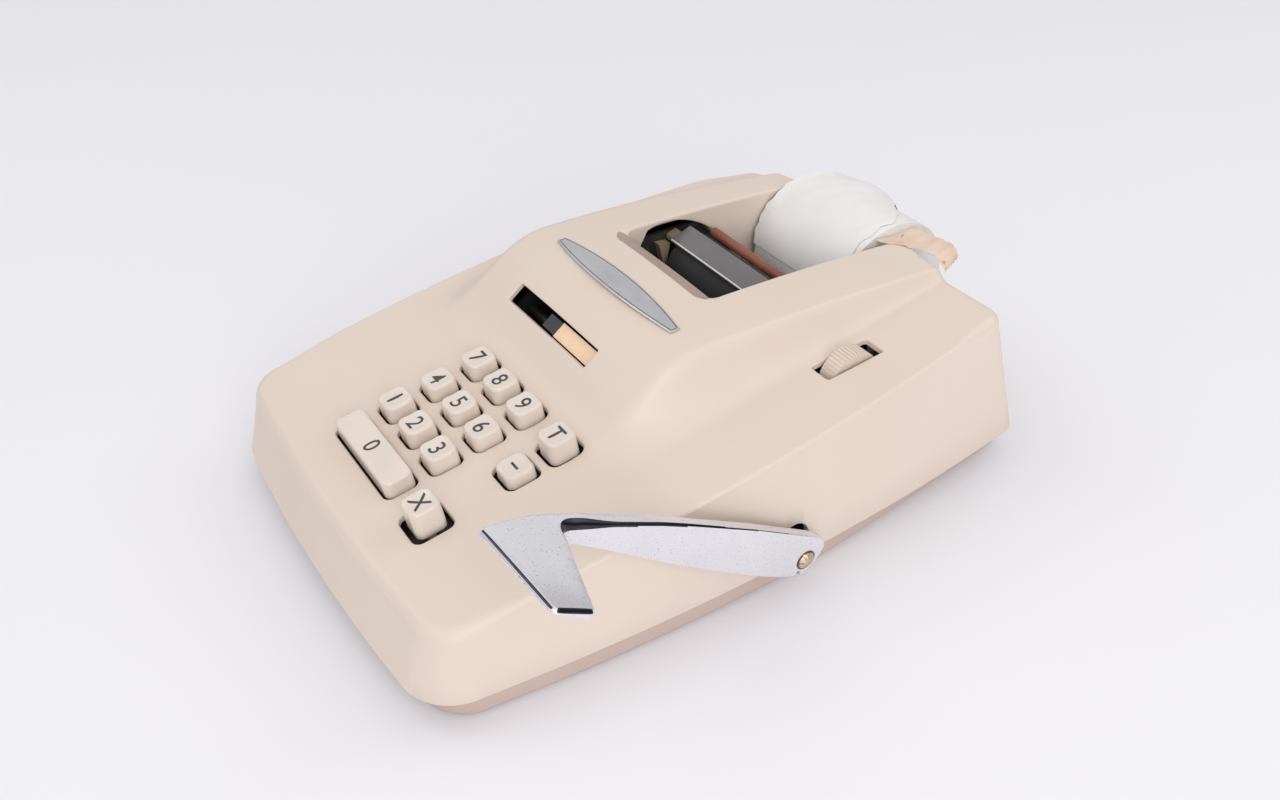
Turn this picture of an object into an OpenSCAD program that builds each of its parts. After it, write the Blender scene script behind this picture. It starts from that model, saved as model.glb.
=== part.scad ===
// Ten-key printing adding machine with a side pull lever, built as separate parts.
// Machine axes: X right, Y back, Z up, millimetres, table at Z = 0.

/* [Casing] */
// Width of the casing at its bottom edge
body_w = 204; // [160:1:260]
// Length of the casing at its bottom edge
body_l = 289.5; // [220:0.5:340]
// Middle of the casing along the machine, from the Y zero
body_y = 4.75; // [-20:0.25:20]
// How far the sides draw in towards each end
side_sag = 10; // [0:0.5:20]
// How far the front edge bows out
front_bow = 3; // [0:0.5:8]
// Radius of the front corners seen from above
corner_r = 22; // [12:1:40]
// Radius of the rear corners seen from above
rear_r = 9; // [5:0.5:40]
// Height of the casing's bottom edge over the table
rim_z = 12; // [8:0.5:20]
// Casing wall
wall = 2.6; // [1.6:0.1:5]
// Radius of the edge between deck and walls
edge_r = 5; // [2:0.5:10]
// Lean of the side walls, millimetres per millimetre
side_draft = 0.14; // [0:0.01:0.3]
// Lean of the front wall
front_draft = 0.28; // [0:0.01:0.5]
// Lean of the rear wall
rear_draft = 0.235; // [0:0.005:0.3]

/* [Deck and hump] */
// Deck height under the middle digit key
deck_z0 = 50.5; // [40:0.5:60]
// Deck tilt at the keys, degrees
key_tilt = 8; // [0:0.5:15]
// Radius of the deck's long curve
deck_r = 2600; // [800:50:6000]
// Highest point of the hump
hump_z = 84; // [70:0.5:100]
// Middle of the hump from the casing's middle
hump_x = -12; // [-40:1:40]
// Half width of the hump's top
hump_half = 59; // [40:1:80]
// Width of the hump's right hollow side where the hump is highest over the deck
flank_r_w = 18; // [8:1:40]
// Least width of that side, at the rear
flank_end = 4; // [3:0.5:10]
// Width of the hump's left hollow side
flank_l_w = 18; // [6:1:40]
// How far the hump's left edge draws in at the rear
hump_in = 12; // [0:0.5:20]
// Where the front slope starts
slope_y0 = -42; // [-60:1:-20]
// Where the front slope reaches the top
slope_y1 = -5; // [-20:1:20]
// Radius of the hump's crown across the machine
crown_r = 800; // [300:20:2000]
// Fall of the hump's top towards the rear, per millimetre squared
hump_fall = 0.00035; // [0:0.00005:0.001]

/* [Paper well] */
// Left inner face of the well
well_x0 = -45; // [-60:1:-30]
// Right inner face of the well
well_x1 = 21; // [10:1:40]
// Front edge of the well
well_y0 = 30; // [15:1:45]
// Bevel along the well's front edge
well_bevel = 5; // [1:0.5:8]
// Bottom of the well's side walls
well_z0 = 30; // [20:1:50]
// Radius of the arched cut-outs in the well's side walls
arch_r = 42.6; // [30:0.2:43]
// Height of the open space under the well's front
arch_z = 66; // [50:1:75]

/* [Keys] */
// Spacing of the digit keys
key_pitch = 19; // [17:0.25:21]
// Middle of the digit block from the casing's middle
key_x = -7.5; // [-30:0.5:30]
// Place of the middle digit row
key_y = -71; // [-90:0.5:-50]
// Key size at the deck
key_base = 12.6; // [11:0.1:15]
// Key size at the top
key_top = 12.2; // [9:0.1:15]
// Key height over the deck
key_h = 6.5; // [4:0.1:12]
// Length of the zero bar
zero_len = 49; // [40:0.5:60]
// Gap around each key
key_gap = 1; // [0.5:0.1:1.5]
// Key travel
key_travel = 4; // [2:0.5:5]
// Gap between a key stem and its guide
stem_gap = 0.08; // [0.03:0.01:0.1]

/* [Lever] */
// Lever shaft place along the machine
lever_y = 13; // [0:0.5:30]
// Lever shaft height
lever_z = 17; // [14:0.5:30]
// Lever shaft radius
lever_r = 5; // [3:0.25:8]
// Raised angle of the arm at rest, degrees
lever_a = 33.5; // [10:0.5:60]
// Gap between the casing's side and the lever arm
arm_gap = 1.6; // [0.8:0.1:6]
// Thickness of the lever arm
arm_t = 5; // [3:0.25:8]
// Length from the shaft to the front of the hand plate
arm_len = 153.5; // [100:0.5:180]
// Reach of the hand plate beside the machine
paddle_w = 42; // [30:1:60]
// Thickness of the hand plate
paddle_t = 3; // [2:0.25:6]
// How far the hand plate rises to its outer end
paddle_rise = 2; // [0:0.25:6]

/* [Printer] */
// Platen axis along the machine
platen_y = 66; // [50:0.5:75]
// Platen axis height
platen_z = 57.3; // [50:0.1:65]
// Platen radius
platen_r = 14.75; // [8:0.25:15]
// Pressure roller radius
press_r = 2.4; // [2:0.1:4]
// Radius of the shafts
shaft_r = 3; // [2:0.25:4]
// Running gap of shafts in their bores
run_gap = 0.05; // [0.02:0.01:0.1]
// Radius of the paper feed wheel
wheel_r = 12.5; // [10:0.25:18]
// Width of the paper feed wheel
wheel_w = 8; // [5:0.5:12]
// Middle of the paper feed wheel
wheel_x = 66.5; // [55:0.5:80]
// Grip grooves around the feed wheel
wheel_n = 48; // [20:1:60]
// Type wheel radius
type_r = 11; // [8:0.25:13]
// Count of type wheels
type_n = 9; // [6:1:12]

/* [Paper] */
// Paper roll width
paper_w = 57; // [40:0.5:60]
// Paper roll radius
paper_r = 34; // [15:0.5:34]
// How far the paper roll's axis is inside the casing's rear edge
roll_in = 13; // [8:0.5:20]
// Paper roll axis height
roll_z = 47.5; // [47:0.5:60]
// Outside radius of the roll's core
core_r = 9.5; // [7:0.25:12]
// Spindle radius
spindle_r = 2.5; // [2:0.25:4]

/* [Base] */
// How far the base is set in under the casing
base_in = 4.5; // [1:0.5:10]
// Height of the rubber feet
foot_h = 2; // [1:0.5:6]
// Radius of the rubber feet
foot_r = 8; // [5:0.5:12]
// Base floor thickness
floor_t = 2.5; // [1.5:0.1:4]
// Frame plate thickness
plate_t = 2; // [1.5:0.1:3]

/* [Hidden] */
half_l = body_l / 2;
half_w = body_w / 2;
floor_z = foot_h + floor_t;
rear_y = body_y + half_l;
front_y = body_y - half_l;
crest_l = hump_x - hump_half;
crest_r = hump_x + hump_half;
arm_x = half_w + arm_gap;
roll_y = rear_y - roll_in;
rest_rear = roll_y + paper_r;
rest_right = arm_x + paddle_w;
// The stored origin: middle of the outside box, on the table
origin_x = (rest_right - half_w) / 2;
origin_y = (rest_rear + front_y - front_bow) / 2;
paper_x0 = (well_x0 + well_x1 - paper_w) / 2;
plate_gap = 1;
snap = 0.4;
plate_lx = well_x0 - wall - plate_gap - plate_t;
plate_rx = well_x1 + wall + plate_gap;
stem_w = 5;
stem_d = 3;
stem_len = 24;
collar_h = 1.2;
spring_room = 3.3;
guide_t = 1.5;
guide_z1 = -8.5;
guide_z2 = guide_z1 - guide_t - collar_h - key_travel - spring_room;
cap_sink = 2;
hole_r = 3.5;
slot_a = 37;
slot_x0 = -46.5;
slot_len = 61;
slot_wd = 9;
slot_y = -23.5;
rail_y = -14;
rail_z = 56;
rail_r = 2.5;
carriage_x = -23;
type_y = platen_y - platen_r - 13.65;
type_z = platen_z - 4.3;
ink_y = type_y - 16;
ink_z = type_z + 9;
press_y = platen_y + 12.5;
press_z = platen_z + 12.1;
press_pin = 1.2;
pin_r = 2;
arch_c = [platen_y - 6.5, platen_z - 19.8];
arch_y0 = platen_y - 22;
slot_half = 14.6;
cross_x = wheel_x - 14;
boss_x = half_w - 25;
boss_y = [front_y + 34, rear_y - 41.5];
boss_r = 5;
screw_r = 1.8;
bearing_x = half_w - 18;
keys_at = [for (r = [-1:1]) for (c = [-1:1]) 
  [key_pitch * c, key_pitch * r, key_h - (r == 0 ? 0.6 : 0), key_gap]];
col4 = 1.35 * key_pitch + key_pitch;
row0 = -2 * key_pitch;
total_at = [col4, key_pitch, key_h + 2, key_gap + 0.4];
minus_at = [col4, 0, key_h - 2.5, key_gap + 0.4];
repeat_at = [col4, row0, key_h + 4, key_gap + 1.2];
zero_at = [0, row0, key_h - 0.3, key_gap];
zero_stem = 16;

function smin(a, b, k) = min(a, b) - pow(max(k - abs(a - b), 0), 2) / (4 * k);
function deck_z(y) = deck_z0 + tan(key_tilt) * (y - key_y) - pow(y - key_y, 2) / (2 * deck_r);
function hump_top(x, y) = hump_z - hump_fall * y * abs(y) - pow(x - hump_x, 2) / (2 * crown_r);
function flank(t) = t >= 1 ? 0 : smin(1, pow(1 - t, 2), 0.16);
function rise_share(y) = max(0, min(1, (hump_top(hump_x, y) - deck_z(y)) / (hump_z - deck_z(0))));
function flank_w(y) = max(flank_end, flank_r_w * rise_share(y));
function side_s(x, y, in) = flank((x - crest_r + in) / flank_w(y))
  * flank((crest_l + in + hump_in * pow(max(y, 0) / rear_y, 2) - x) / flank_l_w);
function slope_s(y) = let (t = (y - slope_y0) / (slope_y1 - slope_y0)) smin(1, -smin(0, -t, 0.3), 0.3);
// Height of the outer skin, with the hump's sides moved in by `in`
function top_z(x, y, in = 0) = deck_z(y) + (hump_top(x, y) - deck_z(y)) * side_s(x, y, in) * slope_s(y);

// Casing outline: v runs along the casing from its middle, in sets it in
function end_r(v, in) = max(1, (v < 0 ? corner_r : rear_r) - in);
function plan_w(v, in) = let (
    r = end_r(v, in),
    e = half_l - in - r,
    w = half_w - in - side_sag * pow(min(abs(v), e) / half_l, 2)
  ) abs(v) <= e ? w : w - r + sqrt(max(r * r - pow(abs(v) - e, 2), 0));
function rows_of(in, n) = let (
    rf = end_r(-1, in),
    rb = end_r(1, in),
    f = half_l - in - rf,
    b = half_l - in - rb
  ) concat(
  [for (a = [0:15:75]) -f - rf * cos(a)],
  [for (j = [0:n]) -f + (f + b) * j / n],
  [for (a = [75:-15:0]) b + rb * cos(a)]);
function plan_pt(u, v, in) = [u * plan_w(v, in),
  body_y + v - front_bow * (1 - u * u) * pow(max(-v, 0) / half_l, 4)];

// Places across the casing from a to b, closer together on the hump's sides
function col_x(t, a, b) = let (k = min(1, (b - 3) / (crest_r + flank_r_w + 13))) lookup(t, [[0, a],
  [0.08, k * (crest_l - 7)], [0.28, k * (crest_l + 17)], [0.5, k * (crest_r - 7)],
  [0.85, k * (crest_r + flank_r_w - 1)], [0.93, k * (crest_r + flank_r_w + 13)], [1, b]]);
function cols(v, in, nu) = let (w = plan_w(v, in)) [for (i = [0:nu]) col_x(i / nu, -w, w) / w];

// Points around the casing's plan, counter-clockwise from the front left corner: [u, v]
function loop_uv(rows, nu, in) = let (
    m = len(rows) - 1,
    front = cols(rows[0], in, nu),
    rear = cols(rows[m], in, nu)
  ) concat(
  [for (i = [0:nu - 1]) [front[i], rows[0]]],
  [for (j = [0:m - 1]) [1, rows[j]]],
  [for (i = [0:nu - 1]) [rear[nu - i], rows[m]]],
  [for (j = [0:m - 1]) [-1, rows[m - j]]]);
function outward(p, k) = let (
    n = len(p),
    d = p[(k + 1) % n] - p[(k + n - 1) % n]
  ) [d[1], -d[0]] / norm(d);

// How far a wall point moves in for each millimetre of height
function lean(out, uv, in) = uv[1] < 0
  ? out * (side_draft + (front_draft - side_draft) * pow(min(out[1], 0), 2))
  : [side_draft * pow(uv[0], 5), rear_draft * min(1, uv[1] / (half_l - in - end_r(1, in)))];

// A closed solid under the casing's top skin, set in by `in` and reaching down to zb
module skin(in, nu, nr, zb, arc) {
  rows = rows_of(in, nr);
  m = len(rows) - 1;
  uv = loop_uv(rows, nu, in);
  p = [for (q = uv) plan_pt(q[0], q[1], in)];
  n = len(p);
  r = edge_r - in / 2;
  out = [for (k = [0:n - 1]) outward(p, k)];
  tilt = [for (k = [0:n - 1]) lean(out[k], uv[k], in)];
  est = [for (k = [0:n - 1]) let (q = p[k] - out[k] * r - tilt[k] * 50) top_z(q[0], q[1], in) - in - r];
  zt = [for (k = [0:n - 1]) let (q = p[k] - out[k] * r - tilt[k] * (est[k] - rim_z))
    top_z(q[0], q[1], in) - in - r];
  mid = [for (k = [0:n - 1]) p[k] - out[k] * r - tilt[k] * (zt[k] - rim_z)];
  rings = concat(
    [for (k = [0:n - 1]) let (q = p[k] - tilt[k] * (zb - rim_z)) [q[0], q[1], zb]],
    [for (s = [0:arc - 1]) for (k = [0:n - 1]) let (a = 90 * s / arc, q = mid[k] + out[k] * r * cos(a))
      [q[0], q[1], zt[k] + r * sin(a)]]);
  lid = [for (j = [0:m]) for (i = [0:nu]) let (
      k = j == 0 ? i : j == m ? nu + m + nu - i : -1,
      a = mid[(n - j) % n],
      b = mid[nu + j],
      x = col_x(i / nu, a[0], b[0]),
      q = k >= 0 ? mid[k % n] : [x, a[1] + (b[1] - a[1]) * (x - a[0]) / (b[0] - a[0])]
    ) [q[0], q[1], top_z(q[0], q[1], in) - in]];
  base = n * (arc + 1);
  edge = [for (k = [0:n - 1]) base + (k < nu ? k : k < nu + m ? (k - nu) * (nu + 1) + nu
    : k < 2 * nu + m ? m * (nu + 1) + (2 * nu + m - k) : (n - k) * (nu + 1))];
  polyhedron(points = concat(rings, lid), faces = concat(
    [[for (k = [0:n - 1]) k]],
    [for (s = [0:arc - 1]) for (k = [0:n - 1]) let (k2 = (k + 1) % n)
      each [[s * n + k, (s + 1) * n + k2, s * n + k2], [s * n + k, (s + 1) * n + k, (s + 1) * n + k2]]],
    [for (k = [0:n - 1]) let (k2 = (k + 1) % n)
      each [[arc * n + k, edge[k2], arc * n + k2], [arc * n + k, edge[k], edge[k2]]]],
    [for (j = [0:m - 1]) for (i = [0:nu - 1]) let (q = base + j * (nu + 1) + i)
      each [[q, q + nu + 2, q + 1], [q, q + nu + 1, q + nu + 2]]]));
}

module plan(in, n = 24) {
  rows = rows_of(in, n);
  polygon([for (q = loop_uv(rows, 12, in)) plan_pt(q[0], q[1], in)]);
}

// Places its children on the deck under the middle digit key, Z along the key travel
module at_keys() {
  translate([key_x, key_y, deck_z0])
    rotate([key_tilt, 0, 0])
      children();
}

module key_hole(k, l) {
  translate([k[0], k[1], -wall - 6])
    linear_extrude(16)
      offset(r = hole_r, $fn = 24)
        square([l + 2 * k[3] - 2 * hole_r, key_base + 2 * k[3] - 2 * hole_r], center = true);
}

// Square key cap with rounded corners, narrowing to the top and hollowed for the finger
module cap(h) {
  q = sqrt(0.5);
  rise = h + cap_sink;
  difference() {
    translate([0, 0, -cap_sink])
      intersection() {
        rotate([0, 0, 45])
          cylinder(h = rise, r1 = key_base * q, r2 = key_top * q, $fn = 4);
        cylinder(h = rise, r1 = key_base * 0.62, r2 = key_top * 0.62, $fn = 48);
      }
    translate([0, 0, h + 26.2])
      sphere(r = 27, $fn = 96);
  }
}

// Side of a key cap, wide at the bottom by l and narrowing to the top
module cap_side(l, rise) {
  polygon([[-l / 2, 0], [l / 2, 0], [(l - key_base + key_top) / 2, rise], [(key_base - key_top - l) / 2, rise]]);
}

// The long zero bar, with a hollow along it
module bar_cap(h, l) {
  rise = h + cap_sink;
  slack = l - key_base;
  difference() {
    translate([0, 0, -cap_sink])
      intersection() {
        translate([-l, 0, 0])
          rotate([90, 0, 90])
            linear_extrude(2 * l)
              cap_side(key_base, rise);
        translate([0, l, 0])
          rotate([90, 0, 0])
            linear_extrude(2 * l)
              cap_side(l, rise);
        union() {
          for (s = [-1, 1])
            translate([s * slack / 2, 0, 0])
              cylinder(h = rise, r1 = key_base * 0.62, r2 = key_top * 0.62, $fn = 48);
          translate([-slack / 2, -key_base, 0])
            cube([slack, 2 * key_base, rise]);
        }
      }
    translate([-l, 0, h + 26.2])
      rotate([0, 90, 0])
        cylinder(h = 2 * l, r = 27, $fn = 96);
  }
}

module stem(x) {
  translate([x - stem_w / 2, -stem_d / 2, -stem_len])
    cube([stem_w, stem_d, stem_len - cap_sink]);
  translate([x - stem_w / 2 - 1.5, -stem_d / 2 - 1, guide_z1 - guide_t - 0.02 - collar_h])
    cube([stem_w + 3, stem_d + 2, collar_h]);
}

module key_at(k, l = 0) {
  at_keys()
    translate([k[0], k[1], 0]) {
      if (l > 0)
        bar_cap(k[2], l);
      else
        cap(k[2]);
      for (x = l > 0 ? [-zero_stem, zero_stem] : [0])
        stem(x);
    }
}

module stem_holes(z) {
  w = stem_w + 2 * stem_gap;
  d = stem_d + 2 * stem_gap;
  spots = concat(keys_at, [total_at, minus_at, repeat_at,
    zero_at + [zero_stem, 0, 0, 0], zero_at - [zero_stem, 0, 0, 0]]);
  for (k = spots)
    translate([k[0] - w / 2, k[1] - d / 2, z - 1])
      cube([w, d, guide_t + 2]);
}

guide_x = [-37, col4 + 15];
guide_y = [row0 - 13, key_pitch + 13];

module guide(z) {
  color("silver")
    at_keys()
      difference() {
        translate([guide_x[0], guide_y[0], z - guide_t])
          cube([guide_x[1] - guide_x[0], guide_y[1] - guide_y[0], guide_t]);
        stem_holes(z - guide_t);
        posts(1);
      }
}

module posts(gap) {
  for (x = [guide_x[0] + 5, guide_x[1] - 5])
    for (y = [guide_y[0] + 5, guide_y[1] - 5])
      translate([x, y, -60])
        cylinder(h = 60 + guide_z1 - (gap > 0 ? 0 : guide_t), r = gap > 0 ? 1.5 : 3, $fn = 32);
}

module slope_frame() {
  translate([slot_x0, slot_y, top_z(slot_x0 + slot_len / 2, slot_y)])
    rotate([slot_a, 0, 0])
      children();
}

module upper_casing() {
  color("#e1d0c3")
    difference() {
      union() {
        difference() {
          skin(0, 40, 34, rim_z, 4);
          skin(wall, 20, 24, rim_z - 1, 2);
        }
        translate([0, 0, rim_z])
          linear_extrude(2.5)
            difference() {
              plan(1);
              plan(base_in + 3.5);
            }
        intersection() {
          skin(0.4, 20, 24, rim_z, 2);
          union() {
            for (x = [well_x0 - wall, well_x1])
              translate([x, well_y0 - wall, well_z0])
                cube([wall, body_l, 90]);
            translate([well_x0 - wall, well_y0 - well_bevel - 1, hump_z - well_bevel - 3])
              cube([well_x1 - well_x0 + 2 * wall, well_bevel + 1, 20]);
            for (x = [-boss_x, boss_x])
              for (y = boss_y)
                translate([x, y, rim_z])
                  cylinder(h = 80, r = boss_r, $fn = 24);
          }
        }
      }
      translate([well_x0, well_y0, arch_z - 30])
        cube([well_x1 - well_x0, body_l, 100]);
      translate([well_x0, rear_y - 30, rim_z - 1])
        cube([well_x1 - well_x0, 60, 100]);
      translate([well_x0, 0, 0])
        rotate([90, 0, 90])
          linear_extrude(well_x1 - well_x0)
            polygon([[well_y0 - well_bevel, hump_z], [well_y0 + 1, hump_z - well_bevel - 1],
              [well_y0 + 1, hump_z + 5], [well_y0 - well_bevel, hump_z + 5]]);
      translate([well_x0 - wall - 0.5, 0, 0])
        rotate([90, 0, 90])
          linear_extrude(well_x1 - well_x0 + 2 * wall + 1)
            polygon(concat([for (a = [0:4:104]) arch_c + arch_r * [cos(a), sin(a)]],
              [[arch_y0, arch_c[1] + 34], [arch_y0, arch_c[1]]]));
      translate([well_x0 - 10, well_y0 - 13, well_z0 - 1])
        cube([well_x1 - well_x0 + 20, arch_c[0] + 13 - well_y0, arch_z - well_z0]);
      for (x = [well_x0 - wall - 1, well_x1 - 1])
        translate([x, roll_y, roll_z]) {
          rotate([0, 90, 0])
            cylinder(h = wall + 2, r = spindle_r + run_gap, $fn = 48);
          translate([0, 0, snap - spindle_r])
            cube([wall + 2, 40, 2 * (spindle_r - snap)]);
        }
      at_keys() {
        for (k = concat(keys_at, [total_at, minus_at, repeat_at]))
          key_hole(k, key_base);
        key_hole(zero_at, zero_len);
      }
      slope_frame()
        translate([0, -slot_wd / 2, -8])
          cube([slot_len, slot_wd, 20]);
      translate([wheel_x - wheel_w / 2 - 1.3, platen_y - 1 - slot_half, 50])
        cube([wheel_w + 2.6, 2 * slot_half, 40]);
      translate([half_w - 20, lever_y + 1.5, 0]) {
        translate([0, 0, lever_z + 4])
          rotate([0, 90, 0])
            cylinder(h = 40, r = 6.5, $fn = 32);
        translate([0, -6.5, 0])
          cube([40, 13, lever_z + 4]);
      }
      for (x = [-boss_x, boss_x])
        for (y = boss_y)
          translate([x, y, rim_z - 1])
            cylinder(h = 14, r = screw_r + 0.1, $fn = 24);
    }
}

module lens(l, w, tip) {
  r = (pow(l / 2, 2) + pow((w - tip) / 2, 2)) / (w - tip);
  intersection() {
    translate([0, w / 2 - r])
      circle(r = r, $fn = 360);
    translate([0, r - w / 2])
      circle(r = r, $fn = 360);
    square([l, w], center = true);
  }
}

module nameplate() {
  color("lightgray")
    intersection() {
      translate([hump_x + 1.6, 4.4, hump_z - 4])
        linear_extrude(8)
          lens(86, 12.5, 4.5);
      translate([hump_x, 40, hump_z - crown_r])
        rotate([90, 0, 0])
          difference() {
            cylinder(h = 80, r = crown_r + 0.7, $fn = 360);
            translate([0, 0, -1])
              cylinder(h = 82, r = crown_r + 0.04, $fn = 360);
          }
    }
}

module base_tray() {
  color("#cdb4aa")
    difference() {
      union() {
        translate([0, 0, foot_h])
          linear_extrude(floor_t)
            plan(base_in);
        translate([0, 0, foot_h])
          linear_extrude(rim_z - foot_h)
            difference() {
              plan(base_in);
              plan(base_in + 2.5);
            }
        for (x = [-boss_x, boss_x])
          for (y = boss_y)
            translate([x, y, foot_h])
              cylinder(h = rim_z - foot_h, r = boss_r, $fn = 32);
      }
      for (x = [-boss_x, boss_x])
        for (y = boss_y) {
          translate([x, y, 0])
            cylinder(h = 20, r = screw_r, $fn = 32);
          translate([x, y, 0])
            cylinder(h = foot_h + 2, r = 3.6, $fn = 32);
        }
      feet_at()
        cylinder(h = 20, r = 2.5, $fn = 32);
      frame_screw_spots()
        translate([0, 0, floor_z - 1.5])
          cylinder(h = 5, r = 1.5, $fn = 32);
    }
}

module feet_at() {
  for (x = [40 - half_w, half_w - 40])
    for (y = [front_y + 28, rear_y - 35.5])
      translate([x, y, 0])
        children();
}

module rubber_feet() {
  color("#222222")
    feet_at() {
      cylinder(h = foot_h, r = foot_r, $fn = 48);
      cylinder(h = floor_z, r = 2.5, $fn = 32);
      translate([0, 0, floor_z])
        cylinder(h = 1.2, r = 3.5, $fn = 32);
    }
}

module case_screws() {
  color("gray")
    for (x = [-boss_x, boss_x])
      for (y = boss_y)
        translate([x, y, foot_h]) {
          difference() {
            cylinder(h = 2, r = 3.6, $fn = 32);
            translate([-4, -0.5, -1])
              cube([8, 1, 1.8]);
          }
          cylinder(h = rim_z + 8 - foot_h, r = screw_r, $fn = 32);
        }
}

rod_spots = [[-20, 20], [40, 14], [roll_y - paper_r - 2.5, 20]];

module frame_plate(x, s) {
  color("lightsteelblue")
    difference() {
      union() {
        translate([x, 0, 0])
          rotate([90, 0, 90])
            linear_extrude(plate_t)
              polygon([[-30, floor_z], [118, floor_z], [118, 50], [110, 64], [100, 70], [92, 73],
                [2, 74], [-8, 70], [-30, 54]]);
        for (y = [-16, 88])
          translate([s > 0 ? x : x + plate_t - 12, y, floor_z])
            cube([12, 14, plate_t]);
      }
      for (p = rod_spots)
        translate([x - 1, p[0], p[1]])
          rotate([0, 90, 0])
            cylinder(h = plate_t + 2, r = 2, $fn = 32);
      translate([x - 1, lever_y, lever_z])
        rotate([0, 90, 0])
          cylinder(h = plate_t + 2, r = lever_r + 3, $fn = 48);
      for (p = [[platen_y, platen_z, shaft_r + run_gap], [type_y, type_z, shaft_r + run_gap],
          [ink_y, ink_z, pin_r + run_gap], [press_y, press_z, press_pin], [rail_y, rail_z, rail_r]])
        translate([x - 1, p[0], p[1]])
          rotate([0, 90, 0])
            cylinder(h = plate_t + 2, r = p[2], $fn = 48);
      frame_screw_spots()
        cylinder(h = 20, r = 1.5, $fn = 32);
    }
}

module frame_screw_spots() {
  for (p = [[plate_lx + plate_t - 7, -9], [plate_lx + plate_t - 7, 95], [plate_rx + 7, -9],
      [plate_rx + 7, 95], [cross_x - 5, platen_y]])
    translate([p[0], p[1], 0])
      children();
}

module frame_plate_left() {
  frame_plate(plate_lx, -1);
}

module frame_plate_right() {
  frame_plate(plate_rx, 1);
}

module tie_rods() {
  color("silver")
    for (p = rod_spots)
      translate([0, p[0], p[1]])
        rotate([0, 90, 0]) {
          translate([0, 0, plate_lx + plate_t])
            cylinder(h = plate_rx - plate_lx - plate_t, r = 3.5, $fn = 32);
          translate([0, 0, plate_lx])
            cylinder(h = plate_rx - plate_lx + plate_t, r = 2, $fn = 32);
          for (x = [plate_lx - 2, plate_rx + plate_t])
            translate([0, 0, x])
              cylinder(h = 2, r = 3.5, $fn = 6);
        }
}

module frame_screws() {
  color("gray")
    frame_screw_spots() {
      translate([0, 0, floor_z - 1.5])
        cylinder(h = plate_t + 1.5, r = 1.5, $fn = 32);
      translate([0, 0, floor_z + plate_t])
        cylinder(h = 2, r = 3, $fn = 32);
    }
}

module key_guide_top() {
  guide(guide_z1);
}

module key_guide_bottom() {
  color("silver")
    at_keys()
      difference() {
        translate([guide_x[0], guide_y[0], guide_z2 - guide_t])
          cube([guide_x[1] - guide_x[0], guide_y[1] - guide_y[0], guide_t]);
        stem_holes(guide_z2 - guide_t);
        posts(0);
      }
}

module guide_posts() {
  color("gray")
    difference() {
      at_keys() {
        posts(0);
        posts(1);
      }
      translate([-100, -140, floor_z - 60])
        cube([200, 140, 60]);
    }
}

module lever_frame() {
  translate([arm_x, lever_y, lever_z])
    rotate([-lever_a, 0, 0])
      mirror([0, 1, 0])
        children();
}

module lever_arm() {
  color("gainsboro")
    lever_frame()
      difference() {
        union() {
          rotate([90, 0, 90])
            linear_extrude(arm_t)
              polygon([[-9.5, 9], [-8.5, -3], [-2, -9], [8, -10.3], [45, -9.8], [79, -7.6], [109, -5.2],
                [121, -4.4 - paddle_t + 2], [arm_len, -4 - paddle_t], [arm_len, -4], [147, -0.9],
                [137, 3], [119, 5.8], [86, 8.2], [39, 10.1], [2, 10.4]]);
          intersection() {
            translate([0, 0, -20])
              linear_extrude(40)
                polygon([[0, 121], [arm_t, 121], [paddle_w, arm_len - 16.5], [paddle_w, arm_len], [0, arm_len]]);
            translate([0, arm_len + 1, 0])
              rotate([90, 0, 0])
                linear_extrude(arm_len)
                  polygon([[0, -4 - paddle_t], [paddle_w, paddle_rise - 4 - paddle_t],
                    [paddle_w, paddle_rise - 4], [0, -4]]);
          }
        }
        rotate([0, 90, 0])
          translate([0, 0, -1])
            cylinder(h = arm_t + 2, r = 2.5, $fn = 48);
        translate([0, -2, -7])
          rotate([0, 90, 0])
            translate([0, 0, -1])
              cylinder(h = arm_t + 2, r = 1.2, $fn = 32);
      }
}

module lever_shaft() {
  color("silver")
    translate([0, lever_y, lever_z])
      rotate([0, 90, 0])
        difference() {
          translate([0, 0, plate_lx])
            cylinder(h = arm_x - plate_lx, r = lever_r, $fn = 48);
          translate([0, 0, arm_x - 14])
            cylinder(h = 20, r = 2.5, $fn = 48);
        }
}

module lever_screw() {
  color("peru")
    translate([0, lever_y, lever_z])
      rotate([0, 90, 0]) {
        translate([0, 0, arm_x - 14])
          cylinder(h = 14 + arm_t, r = 2.5, $fn = 48);
        translate([0, 0, arm_x + arm_t])
          difference() {
            intersection() {
              cylinder(h = 2.6, r = 5, $fn = 48);
              translate([0, 0, -4.6])
                sphere(r = 7, $fn = 48);
            }
            translate([-6, -0.6, 1.2])
              cube([12, 1.2, 4]);
          }
      }
}

module lever_crank() {
  color("gray")
    translate([wheel_x - 33, lever_y, lever_z])
      rotate([0, 90, 0])
        difference() {
          union() {
            cylinder(h = 8, r = lever_r + 4, $fn = 48);
            translate([-26, -5, 0])
              cube([26, 10, 4]);
            translate([-24, 0, 0])
              cylinder(h = 9, r = 2.5, $fn = 32);
          }
          translate([0, 0, -1])
            cylinder(h = 12, r = lever_r, $fn = 48);
        }
}

module lever_bushes() {
  color("goldenrod")
    for (x = [plate_lx, plate_rx])
      translate([x, lever_y, lever_z])
        rotate([0, 90, 0])
          difference() {
            union() {
              cylinder(h = plate_t, r = lever_r + 3, $fn = 48);
              translate([0, 0, plate_t])
                cylinder(h = 1, r = lever_r + 4.5, $fn = 48);
            }
            translate([0, 0, -1])
              cylinder(h = plate_t + 4, r = lever_r + run_gap, $fn = 48);
          }
}

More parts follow.
